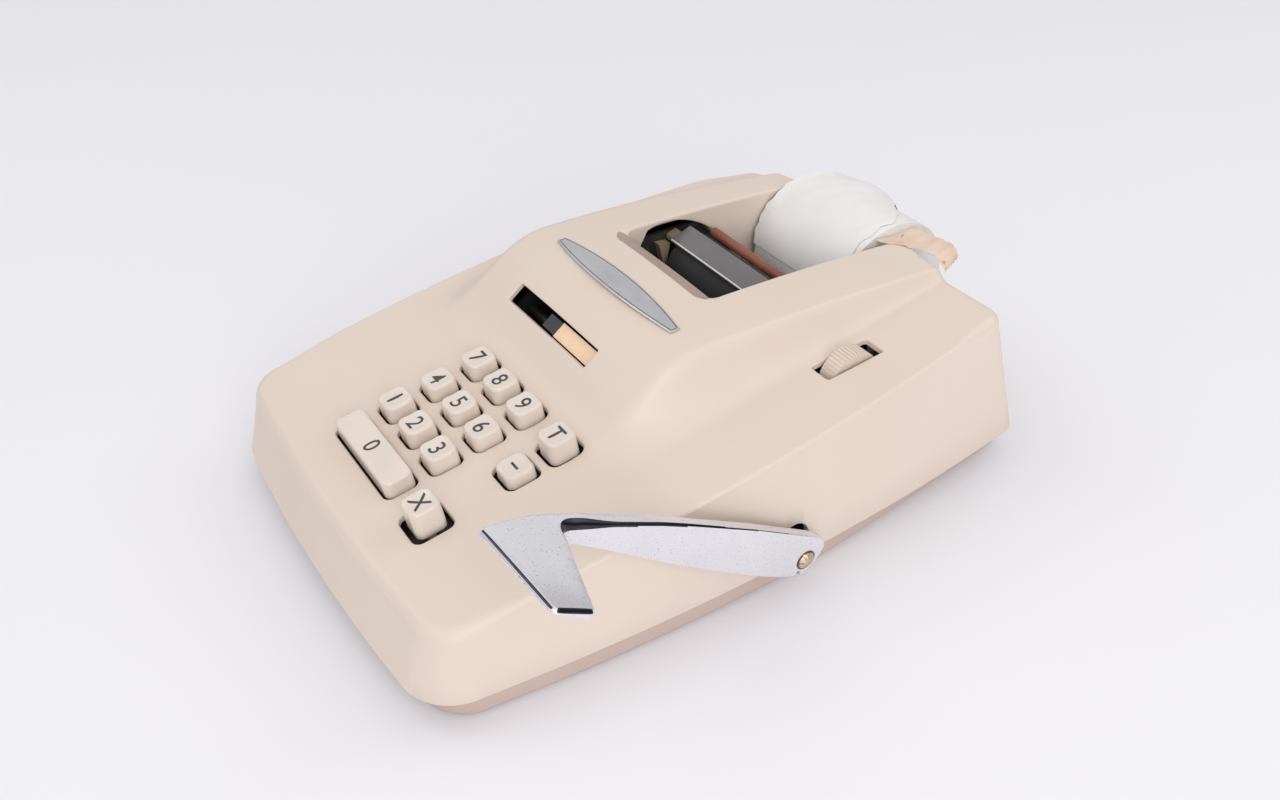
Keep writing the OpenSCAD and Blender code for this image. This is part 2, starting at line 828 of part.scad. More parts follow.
module lever_bearing() {
  color("gray")
    difference() {
      union() {
        translate([bearing_x, lever_y - 10, floor_z])
          cube([7, 20, lever_z - floor_z]);
        translate([bearing_x, lever_y, lever_z])
          rotate([0, 90, 0])
            cylinder(h = 7, r = 9, $fn = 48);
      }
      translate([bearing_x - 1, lever_y, lever_z])
        rotate([0, 90, 0])
          cylinder(h = 9, r = lever_r + run_gap, $fn = 48);
      translate([bearing_x - 5, lever_y - 20, -10])
        cube([20, 40, floor_z + 10]);
    }
}

module bar(x0, x1, y, z, r) {
  translate([x0, y, z])
    rotate([0, 90, 0])
      cylinder(h = x1 - x0, r = r, $fn = 64);
}

module platen_roller() {
  color("#2b2826")
    difference() {
      bar(well_x0 + 4, well_x1 - 4, platen_y, platen_z, platen_r);
      bar(well_x0, well_x1, platen_y, platen_z, shaft_r);
    }
}

module platen_shaft() {
  color("silver") {
    bar(plate_lx, wheel_x + wheel_w / 2 + 1, platen_y, platen_z, shaft_r);
    bar(well_x0 + 2, well_x0 + 4, platen_y, platen_z, shaft_r + 2);
    bar(well_x1 - 4, well_x1 - 2, platen_y, platen_z, shaft_r + 2);
  }
}

module pressure_roller() {
  color("saddlebrown")
    difference() {
      bar(well_x0 + 4, well_x1 - 4, press_y, press_z, press_r);
      bar(well_x0, well_x1, press_y, press_z, press_pin + run_gap);
    }
}

module pressure_shaft() {
  color("silver")
    bar(plate_lx, plate_rx + plate_t, press_y, press_z, press_pin);
}

module feed_wheel() {
  color("#e1d0c3")
    translate([wheel_x - wheel_w / 2, platen_y, platen_z])
      rotate([0, 90, 0])
        difference() {
          union() {
            cylinder(h = wheel_w, r = wheel_r, $fn = 96);
            translate([0, 0, -4])
              cylinder(h = 4, r = shaft_r + 3, $fn = 48);
          }
          translate([0, 0, -5])
            cylinder(h = wheel_w + 10, r = shaft_r, $fn = 48);
          for (i = [0:wheel_n - 1])
            rotate([0, 0, 360 * i / wheel_n])
              translate([wheel_r, 0, -1])
                rotate([0, 0, 45])
                  translate([-0.45, -0.45, 0])
                    cube([0.9, 0.9, wheel_w + 2]);
        }
}

module shaft_bracket() {
  color("lightsteelblue")
    difference() {
      union() {
        translate([cross_x, platen_y - 8, floor_z])
          cube([plate_t, 16, platen_z + 6 - floor_z]);
        translate([cross_x - 10, platen_y - 8, floor_z])
          cube([10 + plate_t, 16, plate_t]);
      }
      bar(cross_x - 1, cross_x + plate_t + 1, platen_y, platen_z, shaft_r + run_gap);
      frame_screw_spots()
        cylinder(h = 20, r = 1.5, $fn = 32);
    }
}

module print_cover() {
  color("dimgray", 0.7)
    translate([well_x0 + 2.5, 0, 0])
      rotate([90, 0, 90])
        linear_extrude(well_x1 - well_x0 - 5)
          translate([platen_y, platen_z])
            polygon([[-11.2, 15.3], [-0.2, 19.1], [0.3, 17.7], [-10.6, 13.9]]);
}

module cover_brackets() {
  color("tan")
    for (s = [0, 1])
      translate([s > 0 ? well_x1 - 7 : plate_lx + plate_t, 0, 0])
        rotate([90, 0, 90])
          linear_extrude(s > 0 ? plate_rx - well_x1 + 7 : well_x0 + 7 - plate_lx - plate_t)
            translate([platen_y, platen_z])
              polygon([[-9, 14.44], [-4, 16.18], [-4, 14.6], [-9, 12.3]]);
  color("tan")
    for (x = [plate_lx + plate_t, plate_rx - 4])
      translate([x, platen_y, platen_z])
        rotate([90, 0, 90])
          linear_extrude(4)
            polygon([[-15.8, 12.6], [-9.8, 11.9], [-11.5, 1.3], [-13.2, 1.3]]);
}

module type_wheels() {
  color("gray")
    difference() {
      union() {
        for (i = [0:type_n - 1])
          bar(paper_x0 + 4 + i * 5.4, paper_x0 + 8.2 + i * 5.4, type_y, type_z, type_r);
        bar(paper_x0 + 4, paper_x0 + 8 + (type_n - 1) * 5.4, type_y, type_z, shaft_r + 2);
      }
      bar(paper_x0, paper_x0 + 60, type_y, type_z, shaft_r);
    }
}

module type_shaft() {
  color("silver")
    bar(plate_lx, plate_rx + plate_t, type_y, type_z, shaft_r);
}

module ink_roller() {
  color("#2b2140")
    difference() {
      bar(paper_x0 + 4, paper_x0 + 52, ink_y, ink_z, 7);
      bar(paper_x0, paper_x0 + 60, ink_y, ink_z, pin_r);
    }
}

module ink_shaft() {
  color("silver")
    bar(plate_lx, plate_rx + plate_t, ink_y, ink_z, pin_r);
}

module indicator_rail() {
  color("silver")
    bar(plate_lx, plate_rx + plate_t, rail_y, rail_z, rail_r);
}

module indicator_carriage() {
  color("#2a2a2c")
    difference() {
      union() {
        bar(carriage_x, carriage_x + 10, rail_y, rail_z, rail_r + 2.5);
        slope_frame()
          translate([carriage_x - slot_x0, -3.2, -15])
            cube([9, 6.4, 11.6]);
      }
      bar(carriage_x - 1, carriage_x + 11, rail_y, rail_z, rail_r + run_gap);
    }
}

module indicator_strip() {
  color("#ecc8a0")
    slope_frame()
      translate([carriage_x - slot_x0 + 9, -3.6, -4.6])
        cube([plate_rx - 1 - carriage_x - 9, 7.2, 1]);
}

module paper_roll() {
  color("white")
    difference() {
      bar(paper_x0, paper_x0 + paper_w, roll_y, roll_z, paper_r);
      bar(paper_x0 - 1, paper_x0 + paper_w + 1, roll_y, roll_z, core_r);
    }
}

module paper_core() {
  color("tan")
    difference() {
      bar(paper_x0 - 0.5, paper_x0 + paper_w + 0.5, roll_y, roll_z, core_r);
      bar(paper_x0 - 2, paper_x0 + paper_w + 2, roll_y, roll_z, spindle_r + run_gap);
    }
}

module roll_spindle() {
  color("silver")
    bar(well_x0 - wall, well_x1 + wall, roll_y, roll_z, spindle_r);
}

tail_t = 0.4;
tail_y = rear_y - 19;
tail_line = [[tail_y - 8, top_z(well_x1, tail_y - 8) + 0.15], [tail_y, top_z(well_x1, tail_y) + 0.15],
  [rear_y - 1, top_z(well_x1, tail_y) - 0.6]];

module paper_tail() {
  color("#e6c49c")
    translate([paper_x0 + paper_w + 0.7, 0, 0])
      rotate([90, 0, 90])
        linear_extrude(29)
          polygon(concat(tail_line,
            [for (i = [len(tail_line) - 1:-1:0]) tail_line[i] + [tail_t * 0.6, tail_t]]));
}

module show(n) {
  translate([-origin_x, -origin_y, 0])
      children();
}

show("upper_casing") upper_casing();
show("nameplate") nameplate();
show("base_tray") base_tray();
show("rubber_feet") rubber_feet();
show("case_screws") case_screws();
show("frame_plate_left") frame_plate_left();
show("frame_plate_right") frame_plate_right();
show("tie_rods") tie_rods();
show("frame_screws") frame_screws();
show("key_guide_top") key_guide_top();
show("key_guide_bottom") key_guide_bottom();
show("guide_posts") guide_posts();
for (i = [1:9])
  show(str("key_", i)) key_at(keys_at[i - 1]);
show("key_0") key_at(zero_at, zero_len);
show("key_total") key_at(total_at);
show("key_minus") key_at(minus_at);
show("key_repeat") key_at(repeat_at);
show("lever_arm") lever_arm();
show("lever_shaft") lever_shaft();
show("lever_screw") lever_screw();
show("lever_crank") lever_crank();
show("lever_bushes") lever_bushes();
show("lever_bearing") lever_bearing();
show("platen_roller") platen_roller();
show("platen_shaft") platen_shaft();
show("pressure_roller") pressure_roller();
show("pressure_shaft") pressure_shaft();
show("feed_wheel") feed_wheel();
show("shaft_bracket") shaft_bracket();
show("print_cover") print_cover();
show("cover_brackets") cover_brackets();
show("type_wheels") type_wheels();
show("type_shaft") type_shaft();
show("ink_roller") ink_roller();
show("ink_shaft") ink_shaft();
show("indicator_rail") indicator_rail();
show("indicator_carriage") indicator_carriage();
show("indicator_strip") indicator_strip();
show("paper_roll") paper_roll();
show("paper_core") paper_core();
show("roll_spindle") roll_spindle();
show("paper_tail") paper_tail();
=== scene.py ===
import math
import bmesh
import bpy
import numpy as np
from mathutils import Matrix, Vector
from mathutils.geometry import delaunay_2d_cdt
from mathutils.kdtree import KDTree

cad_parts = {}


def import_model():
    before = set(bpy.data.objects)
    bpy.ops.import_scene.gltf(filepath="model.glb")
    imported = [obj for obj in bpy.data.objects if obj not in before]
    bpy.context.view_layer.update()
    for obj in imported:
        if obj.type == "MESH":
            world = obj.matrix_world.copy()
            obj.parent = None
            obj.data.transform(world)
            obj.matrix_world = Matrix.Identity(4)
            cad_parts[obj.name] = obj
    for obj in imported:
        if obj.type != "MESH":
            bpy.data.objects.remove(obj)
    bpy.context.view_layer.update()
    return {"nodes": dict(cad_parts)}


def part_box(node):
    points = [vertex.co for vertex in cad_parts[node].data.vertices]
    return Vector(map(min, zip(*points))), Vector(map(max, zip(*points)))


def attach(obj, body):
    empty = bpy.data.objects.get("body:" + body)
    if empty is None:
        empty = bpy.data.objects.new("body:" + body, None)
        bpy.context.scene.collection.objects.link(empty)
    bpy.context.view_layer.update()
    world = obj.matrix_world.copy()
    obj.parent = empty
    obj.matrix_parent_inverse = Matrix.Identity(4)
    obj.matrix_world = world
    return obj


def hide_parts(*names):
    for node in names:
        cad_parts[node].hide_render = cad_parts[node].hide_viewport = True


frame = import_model()
nodes = frame["nodes"]
print("frame loaded:", len(nodes), "nodes")

# Everything below is in machine millimetres: X right, Y back, Z up, casing middle at X 0, Y 0.
shaftLine = {"platenY": 66.0, "platenZ": 57.3, "leverY": 13.0, "leverZ": 17.0, "rollY": 136.5, "rollZ": 47.5}
trayLow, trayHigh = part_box("base_tray")
wheelLow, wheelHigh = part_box("feed_wheel")
machineShift = np.array([(trayLow.x + trayHigh.x) / 2,
                         (wheelLow.y + wheelHigh.y) / 2 - shaftLine["platenY"] / 1000, 0.0])


def toFrame(points):
    return np.asarray(points, float) / 1000 + machineShift


def smooth01(t):
    t = np.clip(t, 0, 1)
    return t * t * (3 - 2 * t)


# Materials: a broad mottle for colour and roughness, a fine grain for the bump, specks where asked for.
finishSet = {"coatRough": 0.12, "ramp": (0.3, 0.66), "speckFrom": 0.68, "speckTo": 0.76, "speckGain": 0.1,
             "speckMost": 0.8, "leastRough": 0.02, "bumpDepth": 0.0003}


def addNode(tree, kind, **values):
    made = tree.nodes.new(kind)
    for key, value in values.items():
        if key in made.inputs:
            made.inputs[key].default_value = value
        else:
            setattr(made, key, value)
    return made


def wire(tree, *links):
    for start, out, end, into in links:
        tree.links.new(start.outputs[out], end.inputs[into])


def blend(tree, factor, first, second):
    mix = addNode(tree, "ShaderNodeMix", data_type="RGBA")
    into = [i for i in mix.inputs if i.type == "RGBA"]
    into[1].default_value = (*second, 1)
    tree.links.new(factor, mix.inputs["Factor"])
    tree.links.new(first, into[0])
    return [o for o in mix.outputs if o.type == "RGBA"][0]


def finish(name, tone, dark, mottle=30, rough=0.4, roughSpread=0.1, grain=900, bump=0.05, metal=0.0,
           coat=0.0, speck=0.0, speckTone=(0.1, 0.08, 0.06), speckScale=420):
    mat = bpy.data.materials.new(name)
    mat.use_nodes = True
    tree = mat.node_tree
    shader = tree.nodes["Principled BSDF"]
    shader.inputs["Metallic"].default_value = metal
    shader.inputs["Coat Weight"].default_value = coat
    shader.inputs["Coat Roughness"].default_value = finishSet["coatRough"]
    where = addNode(tree, "ShaderNodeTexCoord")
    broad = addNode(tree, "ShaderNodeTexNoise", Scale=mottle, Detail=5.0, Roughness=0.6)
    fine = addNode(tree, "ShaderNodeTexNoise", Scale=grain, Detail=3.0)
    ramp = addNode(tree, "ShaderNodeValToRGB")
    for stop, at, shown in zip(ramp.color_ramp.elements, finishSet["ramp"], (dark, tone)):
        stop.position = at
        stop.color = (*shown, 1)
    least, most = max(finishSet["leastRough"], rough - roughSpread), min(1.0, rough + roughSpread)
    spread = addNode(tree, "ShaderNodeMapRange", **{"To Min": least, "To Max": most})
    wire(tree, (where, "Object", broad, "Vector"), (where, "Object", fine, "Vector"),
         (broad, "Fac", ramp, "Fac"), (broad, "Fac", spread, "Value"),
         (spread, "Result", shader, "Roughness"))
    colour = ramp.outputs["Color"]
    if speck > 0:
        spots = addNode(tree, "ShaderNodeTexNoise", Scale=speckScale, Detail=2.0)
        more = finishSet["speckGain"] * speck
        cut = addNode(tree, "ShaderNodeMapRange", **{"From Min": finishSet["speckFrom"] - more,
                                                     "From Max": finishSet["speckTo"] - more,
                                                     "To Max": finishSet["speckMost"]})
        wire(tree, (where, "Object", spots, "Vector"), (spots, "Fac", cut, "Value"))
        colour = blend(tree, cut.outputs["Result"], colour, speckTone)
    tree.links.new(colour, shader.inputs["Base Color"])
    if bump > 0:
        lift = addNode(tree, "ShaderNodeBump", Strength=bump, Distance=finishSet["bumpDepth"])
        wire(tree, (fine, "Fac", lift, "Height"), (lift, "Normal", shader, "Normal"))
    return mat


casingPlastic = finish("casing_plastic", (0.755, 0.635, 0.545), (0.735, 0.612, 0.52), mottle=14, rough=0.4,
                       roughSpread=0.05, grain=1500, bump=0.07)
# Painted shade: the sloped lip at the paper well's front is the same plastic, coloured darker for the shade
# on it.
casingLipShade = finish("casing_lip_painted_shade", (0.44, 0.325, 0.265), (0.41, 0.30, 0.245), mottle=14, rough=0.45,
                   roughSpread=0.05, grain=1500, bump=0.07)
# Painted shade: the casing's inner skin is the same beige plastic, coloured near-black for the shade inside
# the casing.
casingInsideShade = finish("casing_inside_painted_shade", (0.055, 0.045, 0.038), (0.03, 0.026, 0.022), rough=0.8, bump=0.1)
keyPlastic = finish("key_plastic", (0.78, 0.685, 0.61), (0.75, 0.65, 0.575), mottle=60, rough=0.2,
                    roughSpread=0.05, bump=0.02, coat=0.3)
legendInk = finish("legend_ink", (0.05, 0.045, 0.045), (0.08, 0.07, 0.07), mottle=300, rough=0.5,
                   bump=0.02)
chromePitted = finish("chrome_pitted", (0.80, 0.79, 0.82), (0.75, 0.74, 0.77), mottle=45, rough=0.22,
                      roughSpread=0.06, grain=1600, bump=0.06, metal=0.55, speck=0.5,
                      speckTone=(0.40, 0.33, 0.28), speckScale=1500)
# Painted reflection: near-black chrome for lever edge faces, standing in for the dark room the chrome
# mirrors.
chromePaintedReflection = finish("chrome_painted_reflection", (0.035, 0.035, 0.04), (0.06, 0.06, 0.066), mottle=160, rough=0.2,
                    bump=0.03, metal=0.85)
brassScrew = finish("brass_screw", (0.82, 0.66, 0.53), (0.52, 0.35, 0.24), mottle=420, rough=0.4,
                    roughSpread=0.15, bump=0.35, metal=0.9, speck=0.6, speckTone=(0.24, 0.12, 0.06))
brassRim = finish("brass_rim", (0.20, 0.115, 0.065), (0.11, 0.065, 0.04), mottle=300, rough=0.55, metal=0.5)
plateSilver = finish("plate_silver", (0.62, 0.615, 0.62), (0.53, 0.525, 0.535), mottle=90, rough=0.34,
                     roughSpread=0.08, grain=2400, bump=0.05, metal=0.85)
plateLine = finish("plate_line", (0.05, 0.05, 0.055), (0.09, 0.09, 0.09), mottle=200, rough=0.5, bump=0.0)
basePaint = finish("base_paint", (0.585, 0.455, 0.405), (0.55, 0.42, 0.365), mottle=25, rough=0.5, bump=0.08)
rubberBlack = finish("rubber_black", (0.025, 0.025, 0.026), (0.04, 0.04, 0.04), rough=0.75, bump=0.2)
smokedPlastic = finish("smoked_plastic", (0.17, 0.152, 0.16), (0.14, 0.125, 0.13), mottle=40, rough=0.2,
                       roughSpread=0.05, bump=0.02, coat=0.3)
brownRubber = finish("brown_rubber", (0.28, 0.095, 0.06), (0.2, 0.062, 0.04), mottle=70, rough=0.5, bump=0.1)
brightEdge = finish("bright_edge", (0.86, 0.85, 0.84), (0.74, 0.72, 0.7), mottle=120, rough=0.25, bump=0.02)
tanPaint = finish("tan_paint", (0.42, 0.31, 0.20), (0.32, 0.23, 0.15), mottle=60, rough=0.5, bump=0.1)
# Dark steel, partly blackened, rusty steel and partly painted shade, so the frame and works inside the casing
# read near-black.
darkSteelAndShade = finish("dark_steel_and_painted_shade", (0.09, 0.088, 0.085), (0.05, 0.048, 0.046), mottle=40, rough=0.45,
                   bump=0.1, metal=0.7, speck=0.4, speckTone=(0.16, 0.10, 0.06))
dullZinc = finish("dull_zinc", (0.30, 0.30, 0.30), (0.2, 0.2, 0.2), mottle=80, rough=0.42, bump=0.1,
                  metal=0.9)
darkPlastic = finish("dark_plastic", (0.03, 0.03, 0.032), (0.018, 0.018, 0.019), mottle=60, rough=0.4)
peachStrip = finish("peach_strip", (0.99, 0.73, 0.49), (0.92, 0.65, 0.42), mottle=120, rough=0.45,
                    bump=0.04, speck=0.3, speckTone=(0.5, 0.3, 0.16), speckScale=300)
inkFelt = finish("ink_felt", (0.03, 0.02, 0.05), (0.015, 0.01, 0.03), mottle=200, rough=0.9, bump=0.4)
paperWhite = finish("paper_white", (0.84, 0.82, 0.80), (0.79, 0.765, 0.74), mottle=40, rough=0.85,
                    grain=1800, bump=0.08)
paperStained = finish("paper_stained", (0.80, 0.635, 0.52), (0.70, 0.51, 0.385), mottle=70, rough=0.85,
                      grain=1400, bump=0.15, speck=0.25, speckTone=(0.48, 0.30, 0.19), speckScale=260)
cardCore = finish("card_core", (0.36, 0.25, 0.15), (0.28, 0.19, 0.11), mottle=120, rough=0.85, bump=0.2)
print("materials made")


# A bag gathers points and faces of one piece. Look is the index of a face's material.
class Bag:
    def __init__(self):
        self.points, self.faces, self.looks = [], [], []

    def add(self, points, faces, look=0):
        base = len(self.points)
        self.points.extend(np.asarray(points, float).tolist())
        self.faces.extend([[base + i for i in f] for f in faces])
        self.looks.extend([look] * len(faces))

    def lid(self, ring, look=0):
        self.add(ring, [list(range(len(ring)))], look)

    def stitch(self, rings, look=0, closed=True):
        count = len(rings[0])

        def quad(s, k):
            here, there, after = s * count, (s + 1) * count, (k + 1) % count
            return [here + k, here + after, there + after, there + k]

        span = count if closed else count - 1
        faces = [quad(s, k) for s in range(len(rings) - 1) for k in range(span)]
        self.add(np.concatenate(rings), faces, look)

    def sheet(self, top, under):
        self.stitch(top, closed=False)
        self.stitch(under, closed=False)
        for k in (0, -1):
            self.stitch([top[k], under[k]], closed=False)
            self.stitch([np.array([row[k] for row in side]) for side in (top, under)], closed=False)


def makePiece(name, bag, looks, body, stands, sharp=38, weld=4e-7):
    mesh = bpy.data.meshes.new(name)
    mesh.from_pydata(toFrame(bag.points).tolist(), [], bag.faces)
    for mat in looks:
        mesh.materials.append(mat)
    mesh.polygons.foreach_set("material_index", bag.looks)
    work = bmesh.new()
    work.from_mesh(mesh)
    bmesh.ops.remove_doubles(work, verts=work.verts, dist=weld)
    bmesh.ops.recalc_face_normals(work, faces=work.faces)
    work.to_mesh(mesh)
    work.free()
    mesh.shade_smooth()
    mesh.set_sharp_from_angle(angle=math.radians(sharp))
    obj = bpy.data.objects.new(name, mesh)
    bpy.context.scene.collection.objects.link(obj)
    return settle(obj, body, stands)


def settle(obj, body, stands):
    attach(obj, body)
    if stands:
        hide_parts(*stands)
    return obj


def inside(points, loop):
    x, y = points[:, 0], points[:, 1]
    hit = np.zeros(len(points), bool)
    for (x0, y0), (x1, y1) in zip(loop, np.roll(loop, -1, axis=0)):
        if y0 == y1:
            continue
        cross = (y0 > y) != (y1 > y)
        hit ^= cross & (x < (x1 - x0) * (y - y0) / (y1 - y0) + x0)
    return hit


fillSet = {"moreGap": 1.2, "edgeShare": 0.55, "edgeMost": 1.0, "near": 1e-5}


def treeOf(points):
    tree = KDTree(len(points))
    for i, p in enumerate(points):
        tree.insert((p[0], p[1], 0), i)
    tree.balance()
    return tree


def fillFlat(boundary, holes, guides, spacing, more=None):
    points, edges = [], []
    for loop in [boundary, *holes, *guides]:
        base = len(points)
        points.extend(loop.tolist())
        edges.extend([(base + k, base + (k + 1) % len(loop)) for k in range(len(loop))])
    near = treeOf(points)
    low, high = boundary.min(0), boundary.max(0)
    gx, gy = np.meshgrid(np.arange(low[0], high[0], spacing), np.arange(low[1], high[1], spacing))
    gx = gx + (np.arange(gx.shape[0]) % 2)[:, None] * spacing / 2
    grid = np.stack([gx.ravel(), gy.ravel()], 1)
    if more is not None:
        close = treeOf(more)
        grid = np.array([g for g in grid if close.find((*g, 0))[2] > fillSet["moreGap"]])
        grid = np.concatenate([grid, more])
    grid = grid[inside(grid, boundary)]
    for hole in holes:
        grid = grid[~inside(grid, hole)]
    least = min(spacing * fillSet["edgeShare"], fillSet["edgeMost"])
    grid = [g for g in grid.tolist() if near.find((*g, 0))[2] > least]
    made = delaunay_2d_cdt([Vector(p) for p in points + grid], edges, [], 1, fillSet["near"])
    flat = np.array([[v.x, v.y] for v in made[0]])
    tris = np.array(made[2])
    middle = flat[tris].mean(1)
    keep = np.full(len(tris), True)
    for hole in holes:
        keep &= ~inside(middle, hole)
    return flat, tris[keep].tolist()


def outwards(loop):
    d = np.roll(loop, -1, axis=0) - np.roll(loop, 1, axis=0)
    n = np.stack([d[:, 1], -d[:, 0]], 1)
    return n / np.linalg.norm(n, axis=1)[:, None]


def roundRect(halfX, halfY, r, steps=8, straight=5):
    pts = []
    for cx, cy, a0 in ((1, -1, -90), (1, 1, 0), (-1, 1, 90), (-1, -1, 180)):
        a = np.radians(np.linspace(a0, a0 + 90, steps + 1))
        pts.append(np.stack([cx * (halfX - r) + r * np.cos(a), cy * (halfY - r) + r * np.sin(a)], 1))
    out = []
    for k in range(4):
        out.append(pts[k])
        a, b = pts[k][-1], pts[(k + 1) % 4][0]
        out.append(a + (b - a) * np.linspace(0, 1, straight + 2)[1:-1, None])
    return np.concatenate(out)


def insetRect(halfX, halfY, r, d, steps=8, straight=5):
    return roundRect(halfX - d, halfY - d, max(r - d, 0.15), steps, straight)


def finePath(knots, values, at, blur=0.0):
    fine = np.linspace(knots[0], knots[-1], 800)
    line = np.interp(fine, knots, values)
    if blur > 0:
        step = fine[1] - fine[0]
        reach = int(4 * blur / step)
        kernel = np.exp(-0.5 * (np.arange(-reach, reach + 1) * step / blur) ** 2)
        padded = np.concatenate([2 * line[0] - line[reach:0:-1], line, 2 * line[-1] - line[-2:-reach - 2:-1]])
        line = np.convolve(padded, kernel / kernel.sum(), mode="valid")
    return np.interp(at, fine, line)


# Casing: one skin function for deck, hump and flanks, and one loop round its bottom edge and paper well.
casing = {"halfW": 102.0, "halfL": 144.75, "midY": 4.75, "sideSag": 10.0, "frontBow": 3.0, "frontR": 22.0,
          "rearR": 9.0, "rimZ": 12.0, "wall": 2.6, "edgeR": 5.0, "crispR": 1.4, "sideLean": 0.14,
          "frontLean": 0.28, "rearLean": 0.235, "deckZ": 50.5, "tilt": 8.0, "deckR": 2600.0, "humpZ": 84.0,
          "humpX": -12.0, "humpHalf": 59.0, "humpIn": 12.0, "flankRight": 18.0, "flankEnd": 4.0,
          "flankLeft": 18.0, "flankSoft": 0.16, "slopeFrom": -42.0, "slopeTo": -5.0, "slopeSoft": 0.3,
          "crownR": 800.0, "humpFall": 0.00035, "wellLeft": -45.0, "wellRight": 21.0, "wellFront": 30.0,
          "wellZ": 30.0, "archR": 42.6, "archY": 59.5, "archZ": 37.5, "archFrom": 44.0, "archStep": 34.0,
          "archSlant": 1.4, "openZ": 66.0, "frontOpenZ": 76.0, "frontOpenRun": 3.0, "wellEdge": 1.4,
          "wellFrontEdge": 5.0, "wellCorner": 5.0, "lipRun": 2.6, "lipRise": 1.6, "cheekR": 4.5,
          "softRun": 16.0, "footR": 0.7, "footMid": 0.2, "cornerFall": 5.5, "cornerY": (100.0, 50.0),
          "cornerX": (60.0, 30.0), "crispFront": (85.0, 33.0), "crispRear": (112.0, 26.0), "notchBack": 1.5,
          "notchUp": 4.0, "notchR": 6.5}
keyField = {"x": -7.5, "y": -71.0, "pitch": 19.0, "base": 12.6, "top": 12.2, "gap": 1.0, "holeR": 3.5,
            "holeEdge": 0.8, "zeroLen": 49.0, "sink": 2.0, "height": 6.5}
tiltSin, tiltCos = math.sin(math.radians(casing["tilt"])), math.cos(math.radians(casing["tilt"]))


def easeFrom(at, span):
    return smooth01((at - span[0]) / span[1])


def softMin(a, b, k):
    return np.minimum(a, b) - np.maximum(k - np.abs(a - b), 0) ** 2 / (4 * k)


def deckHeight(y):
    d = y - keyField["y"]
    return casing["deckZ"] + math.tan(math.radians(casing["tilt"])) * d - d * d / (2 * casing["deckR"])


def humpHeight(x, y):
    crown = (x - casing["humpX"]) ** 2 / (2 * casing["crownR"])
    return casing["humpZ"] - casing["humpFall"] * y * np.abs(y) - crown


def flankShare(t):
    hollow = (1 - np.minimum(t, 1)) ** 2 + 2 * np.maximum(-t, 0)
    return np.where(t >= 1, 0.0, softMin(1.0, hollow, casing["flankSoft"]))


def flankWidth(y):
    rise = (humpHeight(casing["humpX"], y) - deckHeight(y)) / (casing["humpZ"] - deckHeight(0))
    return np.maximum(casing["flankEnd"], casing["flankRight"] * np.clip(rise, 0, 1))


def leftCrest(y, half):
    back = np.maximum(y, 0) / (casing["midY"] + casing["halfL"])
    return casing["humpX"] - half + casing["humpIn"] * back ** 2


def topHeight(x, y, inset=0.0):
    x, y = np.asarray(x, float), np.asarray(y, float)
    half = casing["humpHalf"] - inset
    right = flankShare((x - casing["humpX"] - half) / flankWidth(y))
    left = flankShare((leftCrest(y, half) - x) / casing["flankLeft"])
    t = (y - casing["slopeFrom"]) / (casing["slopeTo"] - casing["slopeFrom"])
    rise = softMin(1.0, -softMin(0.0, -t, casing["slopeSoft"]), casing["slopeSoft"])
    corner = casing["cornerFall"] * easeFrom(y, casing["cornerY"]) * easeFrom(-x, casing["cornerX"])
    return deckHeight(y) + (humpHeight(x, y) - deckHeight(y)) * right * left * rise - corner


def planWidth(v, inset):
    v = np.asarray(v, float)
    r = np.where(v < 0, casing["frontR"], casing["rearR"]) - inset
    e = casing["halfL"] - inset - r
    y = np.abs(v)
    w = casing["halfW"] - inset - casing["sideSag"] * (np.minimum(y, e) / casing["halfL"]) ** 2
    return np.where(y <= e, w, w - r + np.sqrt(np.maximum(r * r - (np.maximum(y, e) - e) ** 2, 0)))


def planRows(inset, extra=()):
    front, rear = casing["frontR"] - inset, casing["rearR"] - inset
    e0, e1 = casing["halfL"] - inset - front, casing["halfL"] - inset - rear
    a = np.radians(np.arange(0, 90, 4.0))
    side = np.unique(np.concatenate([np.linspace(-e0, e1, 120), np.asarray(extra, float)]))
    return np.concatenate([-e0 - front * np.cos(a), side, (e1 + rear * np.cos(a))[::-1]])


def frontEdge(inset, count=72):
    u = np.linspace(-1, 1, count + 1)[:-1]
    v = -casing["halfL"] + inset
    bow = casing["frontBow"] * (1 - u * u) * (-v / casing["halfL"]) ** 4
    return np.stack([u * planWidth(v, inset), casing["midY"] + v - bow], 1)


def plainLoop(inset):
    rows = planRows(inset)
    w = planWidth(rows, inset)
    y = casing["midY"] + rows
    rear = np.linspace(w[-1], -w[-1], 60)[:-1]
    return np.concatenate([frontEdge(inset), np.stack([w, y], 1)[:-1],
                           np.stack([rear, np.full_like(rear, y[-1])], 1), np.stack([-w, y], 1)[:0:-1]])


def sideEdge(y):
    ends = np.maximum(easeFrom(-y, casing["crispFront"]), easeFrom(y, casing["crispRear"]))
    return casing["crispR"] + (casing["edgeR"] - casing["crispR"]) * ends


